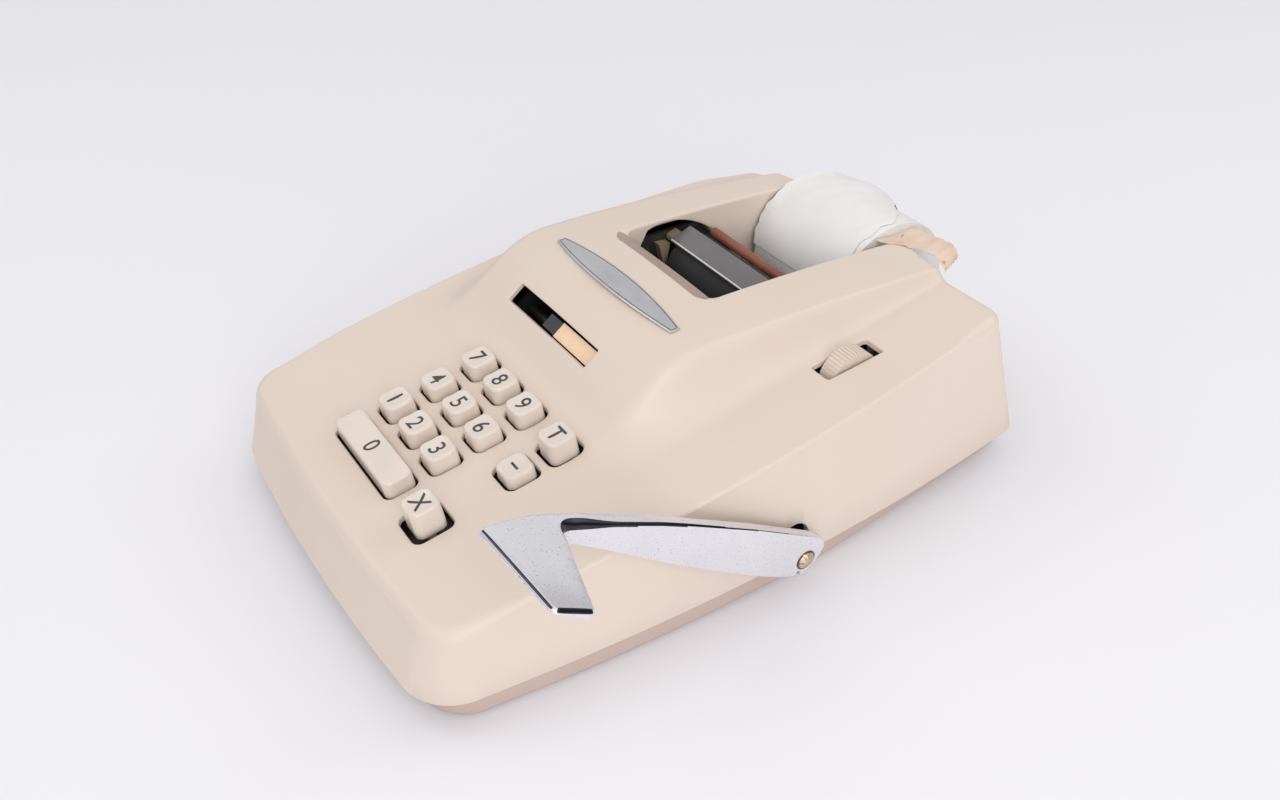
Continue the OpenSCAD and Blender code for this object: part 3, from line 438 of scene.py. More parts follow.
# Each row of the loop: x, y, edge radius, share of the wall's lean, bottom height, share of the flat lip.
def casingLoop():
    notchY, notchR = shaftLine["leverY"] + casing["notchBack"], casing["notchR"]
    arcY = notchY + notchR * np.sin(np.radians(np.linspace(-90, 90, 31)))
    rows, plainRows = planRows(0, arcY - casing["midY"]), planRows(0)
    w, plainW = planWidth(rows, 0), planWidth(plainRows, 0)
    y, plainY = casing["midY"] + rows, casing["midY"] + plainRows
    rearY, cr, ci = casing["midY"] + casing["halfL"], casing["cheekR"], casing["wellCorner"]
    left, right, front = casing["wellLeft"], casing["wellRight"], casing["wellFront"]
    rim, wellEdge, openZ = casing["rimZ"], casing["wellEdge"], casing["frontOpenZ"]
    archY, archR, archFrom = casing["archY"], casing["archR"], casing["archFrom"]
    parts = []

    def put(points, edgeR, share, bottom, flat=0.0):
        cols = [np.broadcast_to(np.asarray(v, float), len(points)) for v in (edgeR, share, bottom, flat)]
        parts.append(np.column_stack([points, *cols]))

    def arc(cx, cy, r, start, end, count):
        a = np.radians(np.linspace(start, end, count))
        return np.stack([cx + r * np.cos(a), cy + r * np.sin(a)], 1)

    def wellBottom(at):
        arch = np.sqrt(np.maximum(archR ** 2 - (at - archY) ** 2, 0)) + casing["archZ"]
        slant = casing["archZ"] + casing["archStep"] + (at - archFrom) * casing["archSlant"]
        z = np.where(at < archFrom - 0.05, casing["openZ"], np.minimum(arch, slant))
        z = z + (openZ - z) * easeFrom(-at, (-front - ci - casing["frontOpenRun"], casing["frontOpenRun"]))
        return np.where(at > archY + archR, casing["wellZ"], z)

    def rearEdge(x, corner):
        soft = wellEdge + (casing["edgeR"] - wellEdge) * smooth01(np.abs(x - corner) / casing["softRun"])
        put(np.stack([x, np.full_like(x, rearY)], 1), soft, 1, rim)

    def wellWall(x, at):
        share = np.clip((at - front - ci) / (archFrom - front - ci), 0, 1)
        put(np.stack([np.full_like(at, x), at], 1), wellEdge, share, wellBottom(at))

    put(frontEdge(0), casing["edgeR"], 1, rim)
    notchZ = shaftLine["leverZ"] + casing["notchUp"] + np.sqrt(np.maximum(notchR ** 2 - (y - notchY) ** 2, 0))
    bottom = np.where(np.abs(y - notchY) < notchR, notchZ, rim)
    put(np.stack([w, y], 1)[:-1], sideEdge(y)[:-1], 1, bottom[:-1])
    rearEdge(np.linspace(w[-1], right + cr, 60)[:-1], right + cr)
    put(arc(right + cr, rearY - cr, cr, 90, 180, 10), wellEdge, 1, rim)
    wy = np.concatenate([np.linspace(rearY - cr - 0.5, archY + archR + 0.3, 34),
                         archY + archR * np.cos(np.linspace(0.02, math.pi / 2, 40)),
                         np.linspace(archY - 1, archFrom, 22), np.linspace(archFrom - 0.15, front + ci, 14)])
    wellWall(right, wy)
    grow = np.linspace(0, 1, 9)[1:]
    edge = wellEdge + (casing["wellFrontEdge"] - wellEdge) * grow
    put(arc(right - ci, front + ci, ci, 0, -90, 9)[1:], edge, 0, openZ, grow)
    fx = np.linspace(right - ci, left + ci, 40)[1:-1]
    put(np.stack([fx, np.full_like(fx, front)], 1), casing["wellFrontEdge"], 0, openZ, 1.0)
    put(arc(left + ci, front + ci, ci, -90, -180, 9)[:-1], edge[::-1], 0, openZ, grow[::-1])
    wellWall(left, wy[::-1])
    put(arc(left - cr, rearY - cr, cr, 0, 90, 10), wellEdge, 1, rim)
    rearEdge(np.linspace(left - cr, -w[-1], 40)[1:-1], left - cr)
    put(np.stack([-plainW, plainY], 1)[:0:-1], sideEdge(plainY)[:0:-1], 1, rim)
    return np.concatenate(parts)


# Rings from the bottom edge up the leaning wall and over the rounded edge, to where the deck begins.
def casingRings(loop, inset, steps):
    plan, edge, share, low, flat = loop[:, :2], *loop[:, 2:].T
    out = outwards(plan)
    v = plan[:, 1] - casing["midY"]
    u = plan[:, 0] / planWidth(v, 0)
    inner = (np.abs(u) < 0.9) & (v > 0) & (v < casing["halfL"] - 0.01)
    steeper = (casing["frontLean"] - casing["sideLean"]) * np.minimum(out[:, 1], 0) ** 2
    ahead = out * (casing["sideLean"] + steeper)[:, None]
    behind = np.column_stack([np.where(inner, 0, casing["sideLean"] * u ** 5),
                              casing["rearLean"] * np.clip(v / (casing["halfL"] - casing["rearR"]), 0, 1)])
    lean = np.where((v < 0)[:, None], ahead, behind) * share[:, None]
    p = plan - out * inset
    r = np.maximum(edge - inset, 0.5) if inset > 0 else edge
    zt = topHeight(p[:, 0], p[:, 1], inset) - inset - r
    for _ in range(5):  # the lean depends on the height and the height on the lean
        mid = p - out * r[:, None] - lean * (zt - casing["rimZ"])[:, None]
        zt = topHeight(mid[:, 0], mid[:, 1], inset) - inset - r
    footR, footMid = casing["footR"], casing["footMid"]
    low = np.minimum(low, zt - footR - footMid)
    push = out * (casing["lipRun"] * flat)[:, None]
    raised = casing["lipRise"] * flat

    def ring(xy, z):
        return np.column_stack([xy, z])

    def wallAt(z):
        return p + push - lean * (z - casing["rimZ"])[:, None]

    mid = wallAt(zt) - push - out * r[:, None]
    if inset == 0:
        rings = [ring(wallAt(low) - out * footR, low), ring(wallAt(low) - out * footMid, low + footMid),
                 ring(wallAt(low), low + footR)]
    else:
        rings = [ring(wallAt(low), low)]
    for part in (0.3, 0.7):
        z = low + footR + (zt - low - footR) * part
        rings.append(ring(wallAt(z), z))
    for t in np.arange(steps + 1) / steps:
        across = (1 - flat) * math.cos(math.pi / 2 * t) + flat * (1 - t)
        lift = (1 - flat) * math.sin(math.pi / 2 * t) + flat * t
        xy = mid + out * (r * across)[:, None] + push * across[:, None]
        rings.append(ring(xy, zt + r * lift + raised * (1 - lift)))
    return rings, mid


keys = {}
for row in (-1, 0, 1):
    for col in (-1, 0, 1):
        digit = str(5 + 3 * row + col)
        keys[digit] = {"node": "key_" + digit, "x": col * keyField["pitch"], "y": row * keyField["pitch"],
                       "rise": keyField["height"] - (0.6 if row == 0 else 0.0), "length": keyField["base"],
                       "more": 0.0}
fourth, zeroRow = 2.35 * keyField["pitch"], -2 * keyField["pitch"]
keys["0"] = {"node": "key_0", "x": 0, "y": zeroRow, "rise": keyField["height"] - 0.3,
             "length": keyField["zeroLen"], "more": 0.0}
keys["T"] = {"node": "key_total", "x": fourth, "y": keyField["pitch"], "rise": keyField["height"] + 2,
             "length": keyField["base"], "more": 0.4}
keys["-"] = {"node": "key_minus", "x": fourth, "y": 0, "rise": keyField["height"] - 2.5,
             "length": keyField["base"], "more": 0.4}
keys["X"] = {"node": "key_repeat", "x": fourth, "y": zeroRow, "rise": keyField["height"] + 4,
             "length": keyField["base"], "more": 1.2}
slotCut = {"x": -16.0, "y": -23.5, "length": 61.0, "width": 9.0, "angle": 37.0, "cornerR": 0.8, "edge": 0.5}
wheelCut = {"x": 66.5, "y": 65.0, "halfX": 5.3, "halfY": 14.6, "cornerR": 1.2, "edge": 0.7}


def deckHoles():
    made = []
    for k in keys.values():
        g = keyField["gap"] + k["more"]
        half = (k["length"] / 2 + g, keyField["base"] / 2 + g)
        rect = roundRect(*half, keyField["holeR"], 8, 6 if k["length"] < 20 else 18)
        rect[:, 1] *= tiltCos
        middle = [keyField["x"] + k["x"], keyField["y"] + k["y"] * tiltCos]
        made.append((rect + middle, keyField["holeEdge"], math.radians(casing["tilt"])))
    a = math.radians(slotCut["angle"])
    rect = roundRect(slotCut["length"] / 2, slotCut["width"] / 2, slotCut["cornerR"], 4, 16)
    rect[:, 1] *= math.cos(a)
    made.append((rect + [slotCut["x"], slotCut["y"]], slotCut["edge"], a))
    rect = roundRect(wheelCut["halfX"], wheelCut["halfY"], wheelCut["cornerR"], 4, 10)
    made.append((rect + [wheelCut["x"], wheelCut["y"]], wheelCut["edge"], 0.0))
    return made


skinGrid = {"plain": 2.4, "quick": 5.0, "inner": 3.0, "round": 10, "innerRound": 3, "guide": 0.8,
            "support": 1.2, "flankY": (-48, 131, 1.8), "flankT": (-0.3, 1.15, 15), "lipShare": 0.6}


def makeCasing():
    bag = Bag()
    loop = casingLoop()
    wall = casing["wall"]
    outer, outerMid = casingRings(loop, 0, skinGrid["round"])
    inner, innerMid = casingRings(loop, wall, skinGrid["innerRound"])
    bag.stitch(outer, 0)
    # faces over the flat lip take the darker plastic, painted shade
    for k in np.nonzero(loop[:, 5] > skinGrid["lipShare"])[0]:
        for s in range(len(outer) - 1 - skinGrid["round"], len(outer) - 1):
            bag.looks[s * len(loop) + k] = 2
    bag.stitch([outer[0], inner[0]], 0)
    # the inner skin takes the near-black plastic, painted shade
    bag.stitch(inner, 1)
    rims, guides, floors = [], [], []
    for curve, edgeR, angle in deckHoles():
        n = outwards(curve)
        rings = []
        for a in np.linspace(0, math.pi / 2, 6):
            xy = curve + n * edgeR * (1 - math.sin(a))
            depth = edgeR * (1 - math.cos(a))
            z = topHeight(xy[:, 0], xy[:, 1]) - depth * math.cos(angle)
            rings.append(np.column_stack([xy + [0, depth * math.sin(angle)], z]))
        foot = curve + [0, wall * math.sin(angle)]
        rings.append(np.column_stack([foot, topHeight(foot[:, 0], foot[:, 1], wall) - wall]))
        bag.stitch(rings, 0)
        rims.append(rings[0][:, :2])
        guides.append(curve + n * (edgeR + skinGrid["guide"]))
        floors.append(foot)
    support = outerMid - outwards(outerMid) * skinGrid["support"]
    ys, ts = np.meshgrid(np.arange(*skinGrid["flankY"]), np.linspace(*skinGrid["flankT"]))
    rightFlank = casing["humpX"] + casing["humpHalf"] + ts * flankWidth(ys)
    leftFlank = leftCrest(ys, casing["humpHalf"]) - ts * casing["flankLeft"]
    flank = np.concatenate([np.stack([x, ys], 2).reshape(-1, 2) for x in (rightFlank, leftFlank)])
    spacing = skinGrid["plain"]
    flat, tris = fillFlat(outerMid, rims, guides + [support], spacing, flank)
    bag.add(np.column_stack([flat, topHeight(flat[:, 0], flat[:, 1])]), tris, 0)
    flat, tris = fillFlat(innerMid, floors, [], skinGrid["inner"])
    bag.add(np.column_stack([flat, topHeight(flat[:, 0], flat[:, 1], wall) - wall]), tris, 1)
    looks = [casingPlastic, casingInsideShade, casingLipShade]
    return makePiece("casing_shell", bag, looks, "machine", ["upper_casing"])


makeCasing()
print("casing made")

# Nameplate, a pointed oval that follows the hump's crown and is left bare.
badge = {"length": 86.0, "width": 12.5, "tip": 4.5, "x": -10.4, "y": 4.4, "seat": 0.04, "proud": 0.7,
         "bevel": 0.3, "lineFrom": 0.8, "lineTo": 1.2}


def makeBadge():
    half, slim = badge["length"] / 2, (badge["width"] - badge["tip"]) / 2
    bow = (half ** 2 + slim ** 2) / (2 * slim)
    bag = Bag()

    def edgeRow(d):
        x = np.linspace(-half + d, half - d, 81)
        y = badge["width"] / 2 - d - bow + np.sqrt(bow ** 2 - x ** 2)
        return x, y

    def at(x, y, lift):
        crown = casing["humpZ"] - (x + badge["x"] - casing["humpX"]) ** 2 / (2 * casing["crownR"])
        return np.column_stack([x + badge["x"], y + badge["y"], crown + lift])

    def ring(d, lift):
        x, y = edgeRow(d)
        return np.concatenate([at(x, -y, lift), at(x[::-1], y[::-1], lift)])

    top = badge["proud"]
    bag.stitch([ring(0, badge["seat"]), ring(0, top - badge["bevel"]), ring(badge["bevel"], top),
                ring(badge["lineFrom"], top)], 0)
    bag.stitch([ring(badge["lineFrom"], top), ring(badge["lineTo"], top)], 1)
    for d, lift in ((badge["lineTo"], top), (0, badge["seat"])):
        x, y = edgeRow(d)
        bag.stitch([at(x, -y, lift), at(x, y, lift)], 0, closed=False)
    looks = [plateSilver, plateLine]
    return makePiece("nameplate_bare", bag, looks, "machine", ["nameplate"], sharp=30)


makeBadge()

# Base: an open pan under the casing, narrower towards its rear.
tray = {"inset": 2.9, "thick": 2.5, "foot": 0.8, "bottomR": 1.2, "frontBack": 4.0, "frontRun": (60.0, 70.0),
        "rearIn": 3.9, "rearRun": (10.0, 110.0), "under": 0.02}


def trayRow(inset, z):
    plan = plainLoop(inset)
    plan[:, 0] *= 1 - tray["rearIn"] / casing["halfW"] * easeFrom(plan[:, 1], tray["rearRun"])
    plan[:, 1] += tray["frontBack"] * easeFrom(-plan[:, 1], tray["frontRun"])
    return np.column_stack([plan, np.full(len(plan), z)])


def makeTray():
    bag = Bag()
    rim, low, r = casing["rimZ"] - tray["under"], tray["foot"], tray["bottomR"]
    rings = [trayRow(tray["inset"], rim)]
    for a in np.linspace(0, math.pi / 2, 6):
        rings.append(trayRow(tray["inset"] + r * (1 - math.cos(a)), low + r * (1 - math.sin(a))))
    lip = trayRow(tray["inset"] + tray["thick"], rim)
    floor = trayRow(tray["inset"] + tray["thick"], low + tray["thick"])
    bag.stitch([floor, lip, *rings])
    bag.lid(rings[-1])
    bag.lid(floor)
    return makePiece("base_pan", bag, [basePaint], "machine", ["base_tray"])


makeTray()
print("plate and base made")

# Keys: a dished cap with its legend, a stem and the stem's collar.
cap = {"fillet": 1.5, "cornerBase": 3.0, "cornerTop": 3.4, "dishR": 27.0, "dish": 0.8, "footIn": 0.5,
       "hollow": (0.9, 0.78, 0.62, 0.45, 0.28, 0.12), "legend": 7.2, "legendCase": 0.73, "legendBold": 0.008,
       "legendLift": 0.035, "legendDeep": 0.25, "stemW": 5.0, "stemD": 3.0, "stemLen": 24.0, "stemJoin": 0.02,
       "collarW": 8.0, "collarD": 5.0, "collarZ": -10.02, "collarH": 1.2, "zeroStem": 16.0}


def legendMesh(letter, size):
    curve = bpy.data.curves.new("legend", "FONT")
    curve.body = letter
    curve.align_x, curve.align_y = "CENTER", "CENTER"
    curve.resolution_u = 6
    curve.offset = cap["legendBold"]
    holder = bpy.data.objects.new("legend", curve)
    bpy.context.scene.collection.objects.link(holder)
    bpy.context.view_layer.update()
    mesh = bpy.data.meshes.new_from_object(holder.evaluated_get(bpy.context.evaluated_depsgraph_get()))
    xy = np.array([[v.co.x, v.co.y] for v in mesh.vertices])
    faces = [list(p.vertices) for p in mesh.polygons]
    bpy.data.objects.remove(holder)
    bpy.data.meshes.remove(mesh)
    middle = (xy.min(0) + xy.max(0)) / 2
    return (xy - middle) * size, faces


def makeKey(letter, k):
    bag = Bag()
    origin = np.array([keyField["x"], keyField["y"], casing["deckZ"]])
    along, up = np.array([0, tiltCos, tiltSin]), np.array([0, -tiltSin, tiltCos])
    long = k["length"] > keyField["base"]
    sink, fillet = keyField["sink"], cap["fillet"]
    rise = k["rise"] + sink

    def world(local):
        local = np.asarray(local, float)
        return (origin + np.outer(local[:, 0] + k["x"], [1, 0, 0]) + np.outer(local[:, 1] + k["y"], along)
                + np.outer(local[:, 2], up))

    def dishZ(x, y):
        r2 = y ** 2 if long else x ** 2 + y ** 2
        return k["rise"] - cap["dish"] + cap["dishR"] - np.sqrt(cap["dishR"] ** 2 - r2)

    def level(plan, z):
        return np.column_stack([plan, np.broadcast_to(z, len(plan))])

    def section(share, inset):
        size = keyField["base"] + (keyField["top"] - keyField["base"]) * share
        halfX = size / 2 + (k["length"] - keyField["base"]) / 2
        corner = cap["cornerBase"] + (cap["cornerTop"] - cap["cornerBase"]) * share
        return insetRect(halfX, size / 2, corner, inset, 8, 18 if long else 6)

    rings = [level(section(0, cap["footIn"]), -sink)]
    for share in np.linspace(0.04, 1 - fillet / rise, 5):
        rings.append(level(section(share, 0.0), rise * share - sink))
    for a in np.linspace(0, math.pi / 2, 8)[1:]:
        drop = 1 - math.sin(a)
        plan = section(1 - fillet / rise * drop, fillet * (1 - math.cos(a)))
        rings.append(level(plan, np.minimum(dishZ(*plan.T), k["rise"]) - fillet * drop))
    rimPlan = rings[-1][:, :2]
    for share in cap["hollow"]:
        plan = rimPlan * share
        if long:  # the bar's hollow runs along it
            shorter = np.abs(rimPlan[:, 0]) - (1 - share) * keyField["top"] / 2
            plan[:, 0] = np.sign(rimPlan[:, 0]) * shorter.clip(0)
        rings.append(level(plan, dishZ(*plan.T)))
    bag.stitch([world(r) for r in rings])
    bag.lid(world(rings[0]))
    bag.lid(world(rings[-1]))
    stem = (cap["stemW"], cap["stemD"], -cap["stemLen"], cap["stemJoin"] - sink)
    collar = (cap["collarW"], cap["collarD"], cap["collarZ"] - cap["collarH"], cap["collarZ"])
    for x in ((-cap["zeroStem"], cap["zeroStem"]) if long else (0.0,)):
        for w, d, z0, z1 in (stem, collar):
            square = [(x - w / 2, -d / 2), (x + w / 2, -d / 2), (x + w / 2, d / 2), (x - w / 2, d / 2)]
            ends = [world(level(square, z)) for z in (z0, z1)]
            bag.stitch(ends)
            bag.lid(ends[0])
            bag.lid(ends[1])
    xy, faces = legendMesh("−" if letter == "-" else letter, cap["legend"] / cap["legendCase"])
    ink = level(xy, dishZ(*xy.T) + cap["legendLift"])
    n = len(ink)
    around = {(f[i - 1], f[i]) for f in faces for i in range(len(f))}
    sides = [[a, b, b + n, a + n] for a, b in around if (b, a) not in around]
    sunk = [[i + n for i in f] for f in faces]
    bag.add(world(np.concatenate([ink, ink - [0, 0, cap["legendDeep"]]])), [*faces, *sunk, *sides], 1)
    looks = [keyPlastic, legendInk]
    return makePiece("cap_" + k["node"], bag, looks, k["node"] + "_unit", [k["node"]], sharp=50)


for letter, k in keys.items():
    makeKey(letter, k)
print("keys made:", len(keys))

# Lever: x is out from the arm's inner face, u forward along the arm from its shaft, w up across it.
lever = {"x": 103.6, "angle": 33.5, "thick": 5.0, "reach": 42.0, "length": 153.5, "plate": 3.0, "seatW": -4.0,
         "rise": 2.0, "rear": -7.0, "crotch": 127.5, "outerRear": 137.2, "sharp": 44, "fill": 1.6,
         "topU": [-7, -5.6, -4, 4, 39, 86, 119, 137, 147, 153.5],
         "topW": [5.5, 8.8, 9.9, 10.4, 10.1, 8.2, 5.8, 3, -0.9, -4],
         "lowU": [-7, -5.5, -3, 0, 9, 20, 50, 76, 103, 121, 153.5],
         "lowW": [1, -3.2, -6, -7.7, -9, -9.4, -8.8, -7.2, -4.6, -3.4, -7],
         "tiltRun": (70, 55), "tiltBend": 0.85, "thin": 1.1, "thinRun": (140, 12), "joinX": 5,
         "joinRun": (119, 9), "armSide": 2.5, "beside": 3.0, "edgeIn": 0.3, "innerEdge": 0.8, "armEdge": 0.9,
         "midMore": 0.5, "midRun": (30, 60), "neckMore": 1.8, "neckRun": (106, 14), "frontEdge": 1.15,
         "outEdge": 1.4, "bottomEdge": 0.5, "darkTip": 1.5, "darkOut": 0.2, "darkShort": 2.0,
         "darkArm": [(18, 2, 3), (36, 2, 4), (54, 1, 4), (72, 1, 5), (96, 1, 6)]}


def leverTop(x, u):
    edge = finePath(lever["topU"], lever["topW"], u, 1.0)
    out = lever["seatW"] + lever["rise"]
    tilt = easeFrom(u, lever["tiltRun"])
    return edge + (out - edge) * tilt * np.clip(x / lever["reach"], 0, 1) ** lever["tiltBend"]


def leverBottom(x, u):
    edge = finePath(lever["lowU"], lever["lowW"], u, 0.8)
    flat = lever["seatW"] + lever["rise"] * x / lever["reach"] - lever["plate"]
    flat = flat + lever["thin"] * easeFrom(u, lever["thinRun"])
    return edge + (flat - edge) * smooth01(x / lever["joinX"]) * easeFrom(u, lever["joinRun"])


def leverSpot(x, u=0.0, w=0.0):
    a = math.radians(lever["angle"])
    return [lever["x"] + x, shaftLine["leverY"] - u * math.cos(a) + w * math.sin(a),
            shaftLine["leverZ"] + u * math.sin(a) + w * math.cos(a)]


def leverPlan():
    rear, crotch, end = lever["rear"], lever["crotch"], lever["length"]
    outline = []

    def corner(p, before, after, r, n=8):
        p, before, after = (np.asarray(v, float) for v in (p, before, after))
        d0, d1 = ((v - p) / np.linalg.norm(v - p) for v in (before, after))
        half = math.acos(np.clip(d0 @ d1, -1, 1)) / 2
        reach = r / math.tan(half)
        centre = p + (d0 + d1) / np.linalg.norm(d0 + d1) * r / math.sin(half)
        a, b = p + d0 * reach - centre, p + d1 * reach - centre
        a0, a1 = math.atan2(a[1], a[0]), math.atan2(b[1], b[0])
        turn = (a1 - a0 + math.pi) % (2 * math.pi) - math.pi
        t = a0 + turn * np.linspace(0, 1, n)
        return centre + r * np.column_stack([np.cos(t), np.sin(t)])

    stops = [((0, rear), 1.2), ((lever["thick"], rear), 1.2), ((lever["thick"], crotch), 5.0),
             ((lever["reach"], lever["outerRear"]), 2.6), ((lever["reach"], end), 2.6), ((0, end), 1.5)]
    arcs = [corner(p, stops[i - 1][0], stops[(i + 1) % len(stops)][0], r) for i, (p, r) in enumerate(stops)]
    for i, arc in enumerate(arcs):
        outline.append(arc)
        a, b = arc[-1], arcs[(i + 1) % len(arcs)][0]
        count = max(2, int(np.linalg.norm(b - a) / lever["fill"]))
        outline.append(a + (b - a) * np.linspace(0, 1, count + 1)[1:-1, None])
    return np.concatenate(outline)


def makeLever():
    bag = Bag()
    plan = leverPlan()
    out = outwards(plan)
    x, u = plan.T
    side = lever["armSide"]
    atTip, atEnd = u > lever["length"] - lever["edgeIn"], x > lever["reach"] - lever["edgeIn"]
    onArm = (x > side) & (x < lever["thick"] + lever["beside"]) & (u < lever["crotch"] + lever["beside"])
    arm = lever["midMore"] * easeFrom(u, lever["midRun"]) + lever["neckMore"] * easeFrom(u, lever["neckRun"])
    rTop = np.where(x < side, lever["innerEdge"], lever["armEdge"])
    rTop = np.where(onArm, lever["armEdge"] + arm, rTop)
    rTop = np.where(atTip & (x > side), lever["frontEdge"], rTop)
    rTop = np.where(atEnd, lever["outEdge"], rTop)
    rLow = np.full(len(plan), lever["bottomEdge"])
    rTop = np.convolve(np.concatenate([rTop[-3:], rTop, rTop[:3]]), np.ones(7) / 7, mode="valid")
    a = math.radians(lever["angle"])
    forward, up = np.array([0, -math.cos(a), math.sin(a)]), np.array([0, math.sin(a), math.cos(a)])
    pivot = np.array(leverSpot(0))

    def world(xy, w):
        return pivot + np.outer(xy[:, 0], [1, 0, 0]) + np.outer(xy[:, 1], forward) + np.outer(w, up)

    topIn = plan - out * rTop[:, None]
    lowIn = plan - out * rLow[:, None]
    crest, sole = leverTop(*topIn.T), leverBottom(*lowIn.T)
    rings = []
    for t in np.linspace(0, math.pi / 2, 7):
        rings.append(world(topIn + out * (rTop * math.sin(t))[:, None], crest - rTop * (1 - math.cos(t))))
    for t in np.linspace(math.pi / 2, 0, 5):
        rings.append(world(lowIn + out * (rLow * math.sin(t))[:, None], sole + rLow * (1 - math.cos(t))))
    bag.stitch(rings, 0)
    # painted reflection: dark edge faces stand in for what the chrome mirrors, as ranges of rings
    dark = [(onArm & (u > at), start, end) for at, start, end in lever["darkArm"]]
    dark.append((atTip & (x > lever["darkTip"]), 2, 5))
    dark.append(((x > lever["reach"] - lever["darkOut"]) & (u < lever["length"] - lever["darkShort"]), 0, 5))
    for where, start, end in dark:
        for k in np.nonzero(where)[0]:
            for s in range(start, end):
                bag.looks[s * len(plan) + k] = 1
    for loop, height in ((topIn, leverTop), (lowIn, leverBottom)):
        flat, tris = fillFlat(loop, [], [], lever["fill"])
        bag.add(world(flat, height(*flat.T)), tris, 0)
    looks = [chromePitted, chromePaintedReflection]
    return makePiece("lever_hand", bag, looks, "pull_lever", ["lever_arm"], sharp=lever["sharp"])


def cutHole(obj, centre, radius, depth):
    bpy.ops.mesh.primitive_cylinder_add(vertices=40, radius=radius / 1000, depth=depth / 1000)
    cutter = bpy.context.object
    cutter.data.transform(Matrix.Translation(toFrame([centre])[0]) @ Matrix.Rotation(math.pi / 2, 4, "Y"))
    cut = obj.modifiers.new("hole", "BOOLEAN")
    cut.object, cut.operation, cut.solver = cutter, "DIFFERENCE", "EXACT"
    bpy.context.view_layer.update()
    made = bpy.data.meshes.new_from_object(obj.evaluated_get(bpy.context.evaluated_depsgraph_get()))
    obj.modifiers.remove(cut)
    bpy.data.objects.remove(cutter)
    obj.data = made
    made.set_sharp_from_angle(angle=math.radians(lever["sharp"]))


# Holes: a small spot below the shaft, the screw's bore and the recess for its head.
leverHand = makeLever()
leverHoles = [(leverSpot(lever["thick"] / 2, -0.2, -6.4), 1.3, 12.0),
              (leverSpot(lever["thick"] / 2), 2.5, 12.0), (leverSpot(lever["thick"]), 4.5, 2.0)]
for spot, radius, depth in leverHoles:
    cutHole(leverHand, spot, radius, depth)

screwHead = {"r": 4.1, "rise": 3.2, "edge": 0.9, "slot": 0.2, "slotSoft": 0.3, "depth": 0.4, "sunk": 1.0,
             "turn": 25.0, "seat": 0.02, "shank": 2.5, "shankLen": 14.0, "rimRings": 5}


def makeScrew():
    bag = Bag()
    ringsAt = np.concatenate([np.linspace(0.02, 0.96, 26), [0.985, 1.0]])
    turn = np.linspace(0, 2 * math.pi, 73)[:-1]
    t = math.radians(screwHead["turn"])
    face = lever["x"] + lever["thick"] - screwHead["sunk"]

    def at(r, x):
        return np.column_stack([np.broadcast_to(x, len(turn)), shaftLine["leverY"] + r * np.cos(turn),
                                shaftLine["leverZ"] + r * np.sin(turn)])

    rings = []
    for share in ringsAt:
        r = share * screwHead["r"]
        dome = screwHead["edge"] + (screwHead["rise"] - screwHead["edge"]) * (1 - share ** 2)
        across = r * np.cos(turn) * math.cos(t) + r * np.sin(turn) * math.sin(t)
        groove = 1 - smooth01((np.abs(across) - screwHead["slot"]) / screwHead["slotSoft"])
        rings.append(at(r, face + dome - screwHead["depth"] * groove))
    rings.append(at(screwHead["r"], face + screwHead["seat"]))
    rings.append(at(screwHead["shank"], face + screwHead["seat"]))
    rings.append(at(screwHead["shank"], lever["x"] - screwHead["shankLen"]))
    bag.stitch(rings, 0)
    rim = len(turn) * (len(ringsAt) - screwHead["rimRings"])
    bag.looks[rim:] = [1] * (len(bag.looks) - rim)
    bag.lid(rings[0])
    bag.lid(rings[-1])
    looks = [brassScrew, brassRim]
    return makePiece("lever_bolt", bag, looks, "pull_lever", ["lever_screw"], sharp=60)


makeScrew()
print("lever made")

# Geometry nodes grow the ribbed feed wheel and the wound paper.
wheel = {"x": 66.5, "r": 12.5, "width": 8.0, "ribs": 48, "ribW": 0.95, "ribH": 0.8, "ribShort": 0.4,
         "ribSink": 0.02, "hubR": 6.0, "hubLen": 4.0}
winding = {"left": -40.5, "width": 57.0, "inner": 9.6, "outer": 33.78, "turns": 78, "paper": 0.26,
           "steps": 72}


def newTree(name, inputs):
    tree = bpy.data.node_groups.new(name, "GeometryNodeTree")
    tree.interface.new_socket("Geometry", in_out="OUTPUT", socket_type="NodeSocketGeometry")
    ids = {}
    for label, kind in inputs.items():
        ids[label] = tree.interface.new_socket(label, in_out="INPUT", socket_type=kind).identifier
    return tree, ids, tree.nodes.new("NodeGroupInput"), tree.nodes.new("NodeGroupOutput")


def bakeTree(name, tree, ids, values, turned):
    holder = bpy.data.objects.new(name, bpy.data.meshes.new(name))
    bpy.context.scene.collection.objects.link(holder)
    made = holder.modifiers.new("grow", "NODES")
    made.node_group = tree
    for label, value in values.items():
        made[ids[label]] = value
    bpy.context.view_layer.update()
    mesh = bpy.data.meshes.new_from_object(holder.evaluated_get(bpy.context.evaluated_depsgraph_get()))
    holder.modifiers.remove(made)
    mesh.transform(turned)
    work = bmesh.new()
    work.from_mesh(mesh)
    bmesh.ops.remove_doubles(work, verts=work.verts, dist=2e-6)
    bmesh.ops.recalc_face_normals(work, faces=work.faces)
    work.to_mesh(mesh)
    work.free()
    holder.data = mesh
    mesh.shade_smooth()
    mesh.set_sharp_from_angle(angle=math.radians(35))
    return holder


def dressed(tree, grown, out, look, result):
    real = addNode(tree, "GeometryNodeRealizeInstances")
    dress = addNode(tree, "GeometryNodeSetMaterial", Material=look)
    wire(tree, (grown, out, real, "Geometry"), (real, "Geometry", dress, "Geometry"),
         (dress, "Geometry", result, "Geometry"))


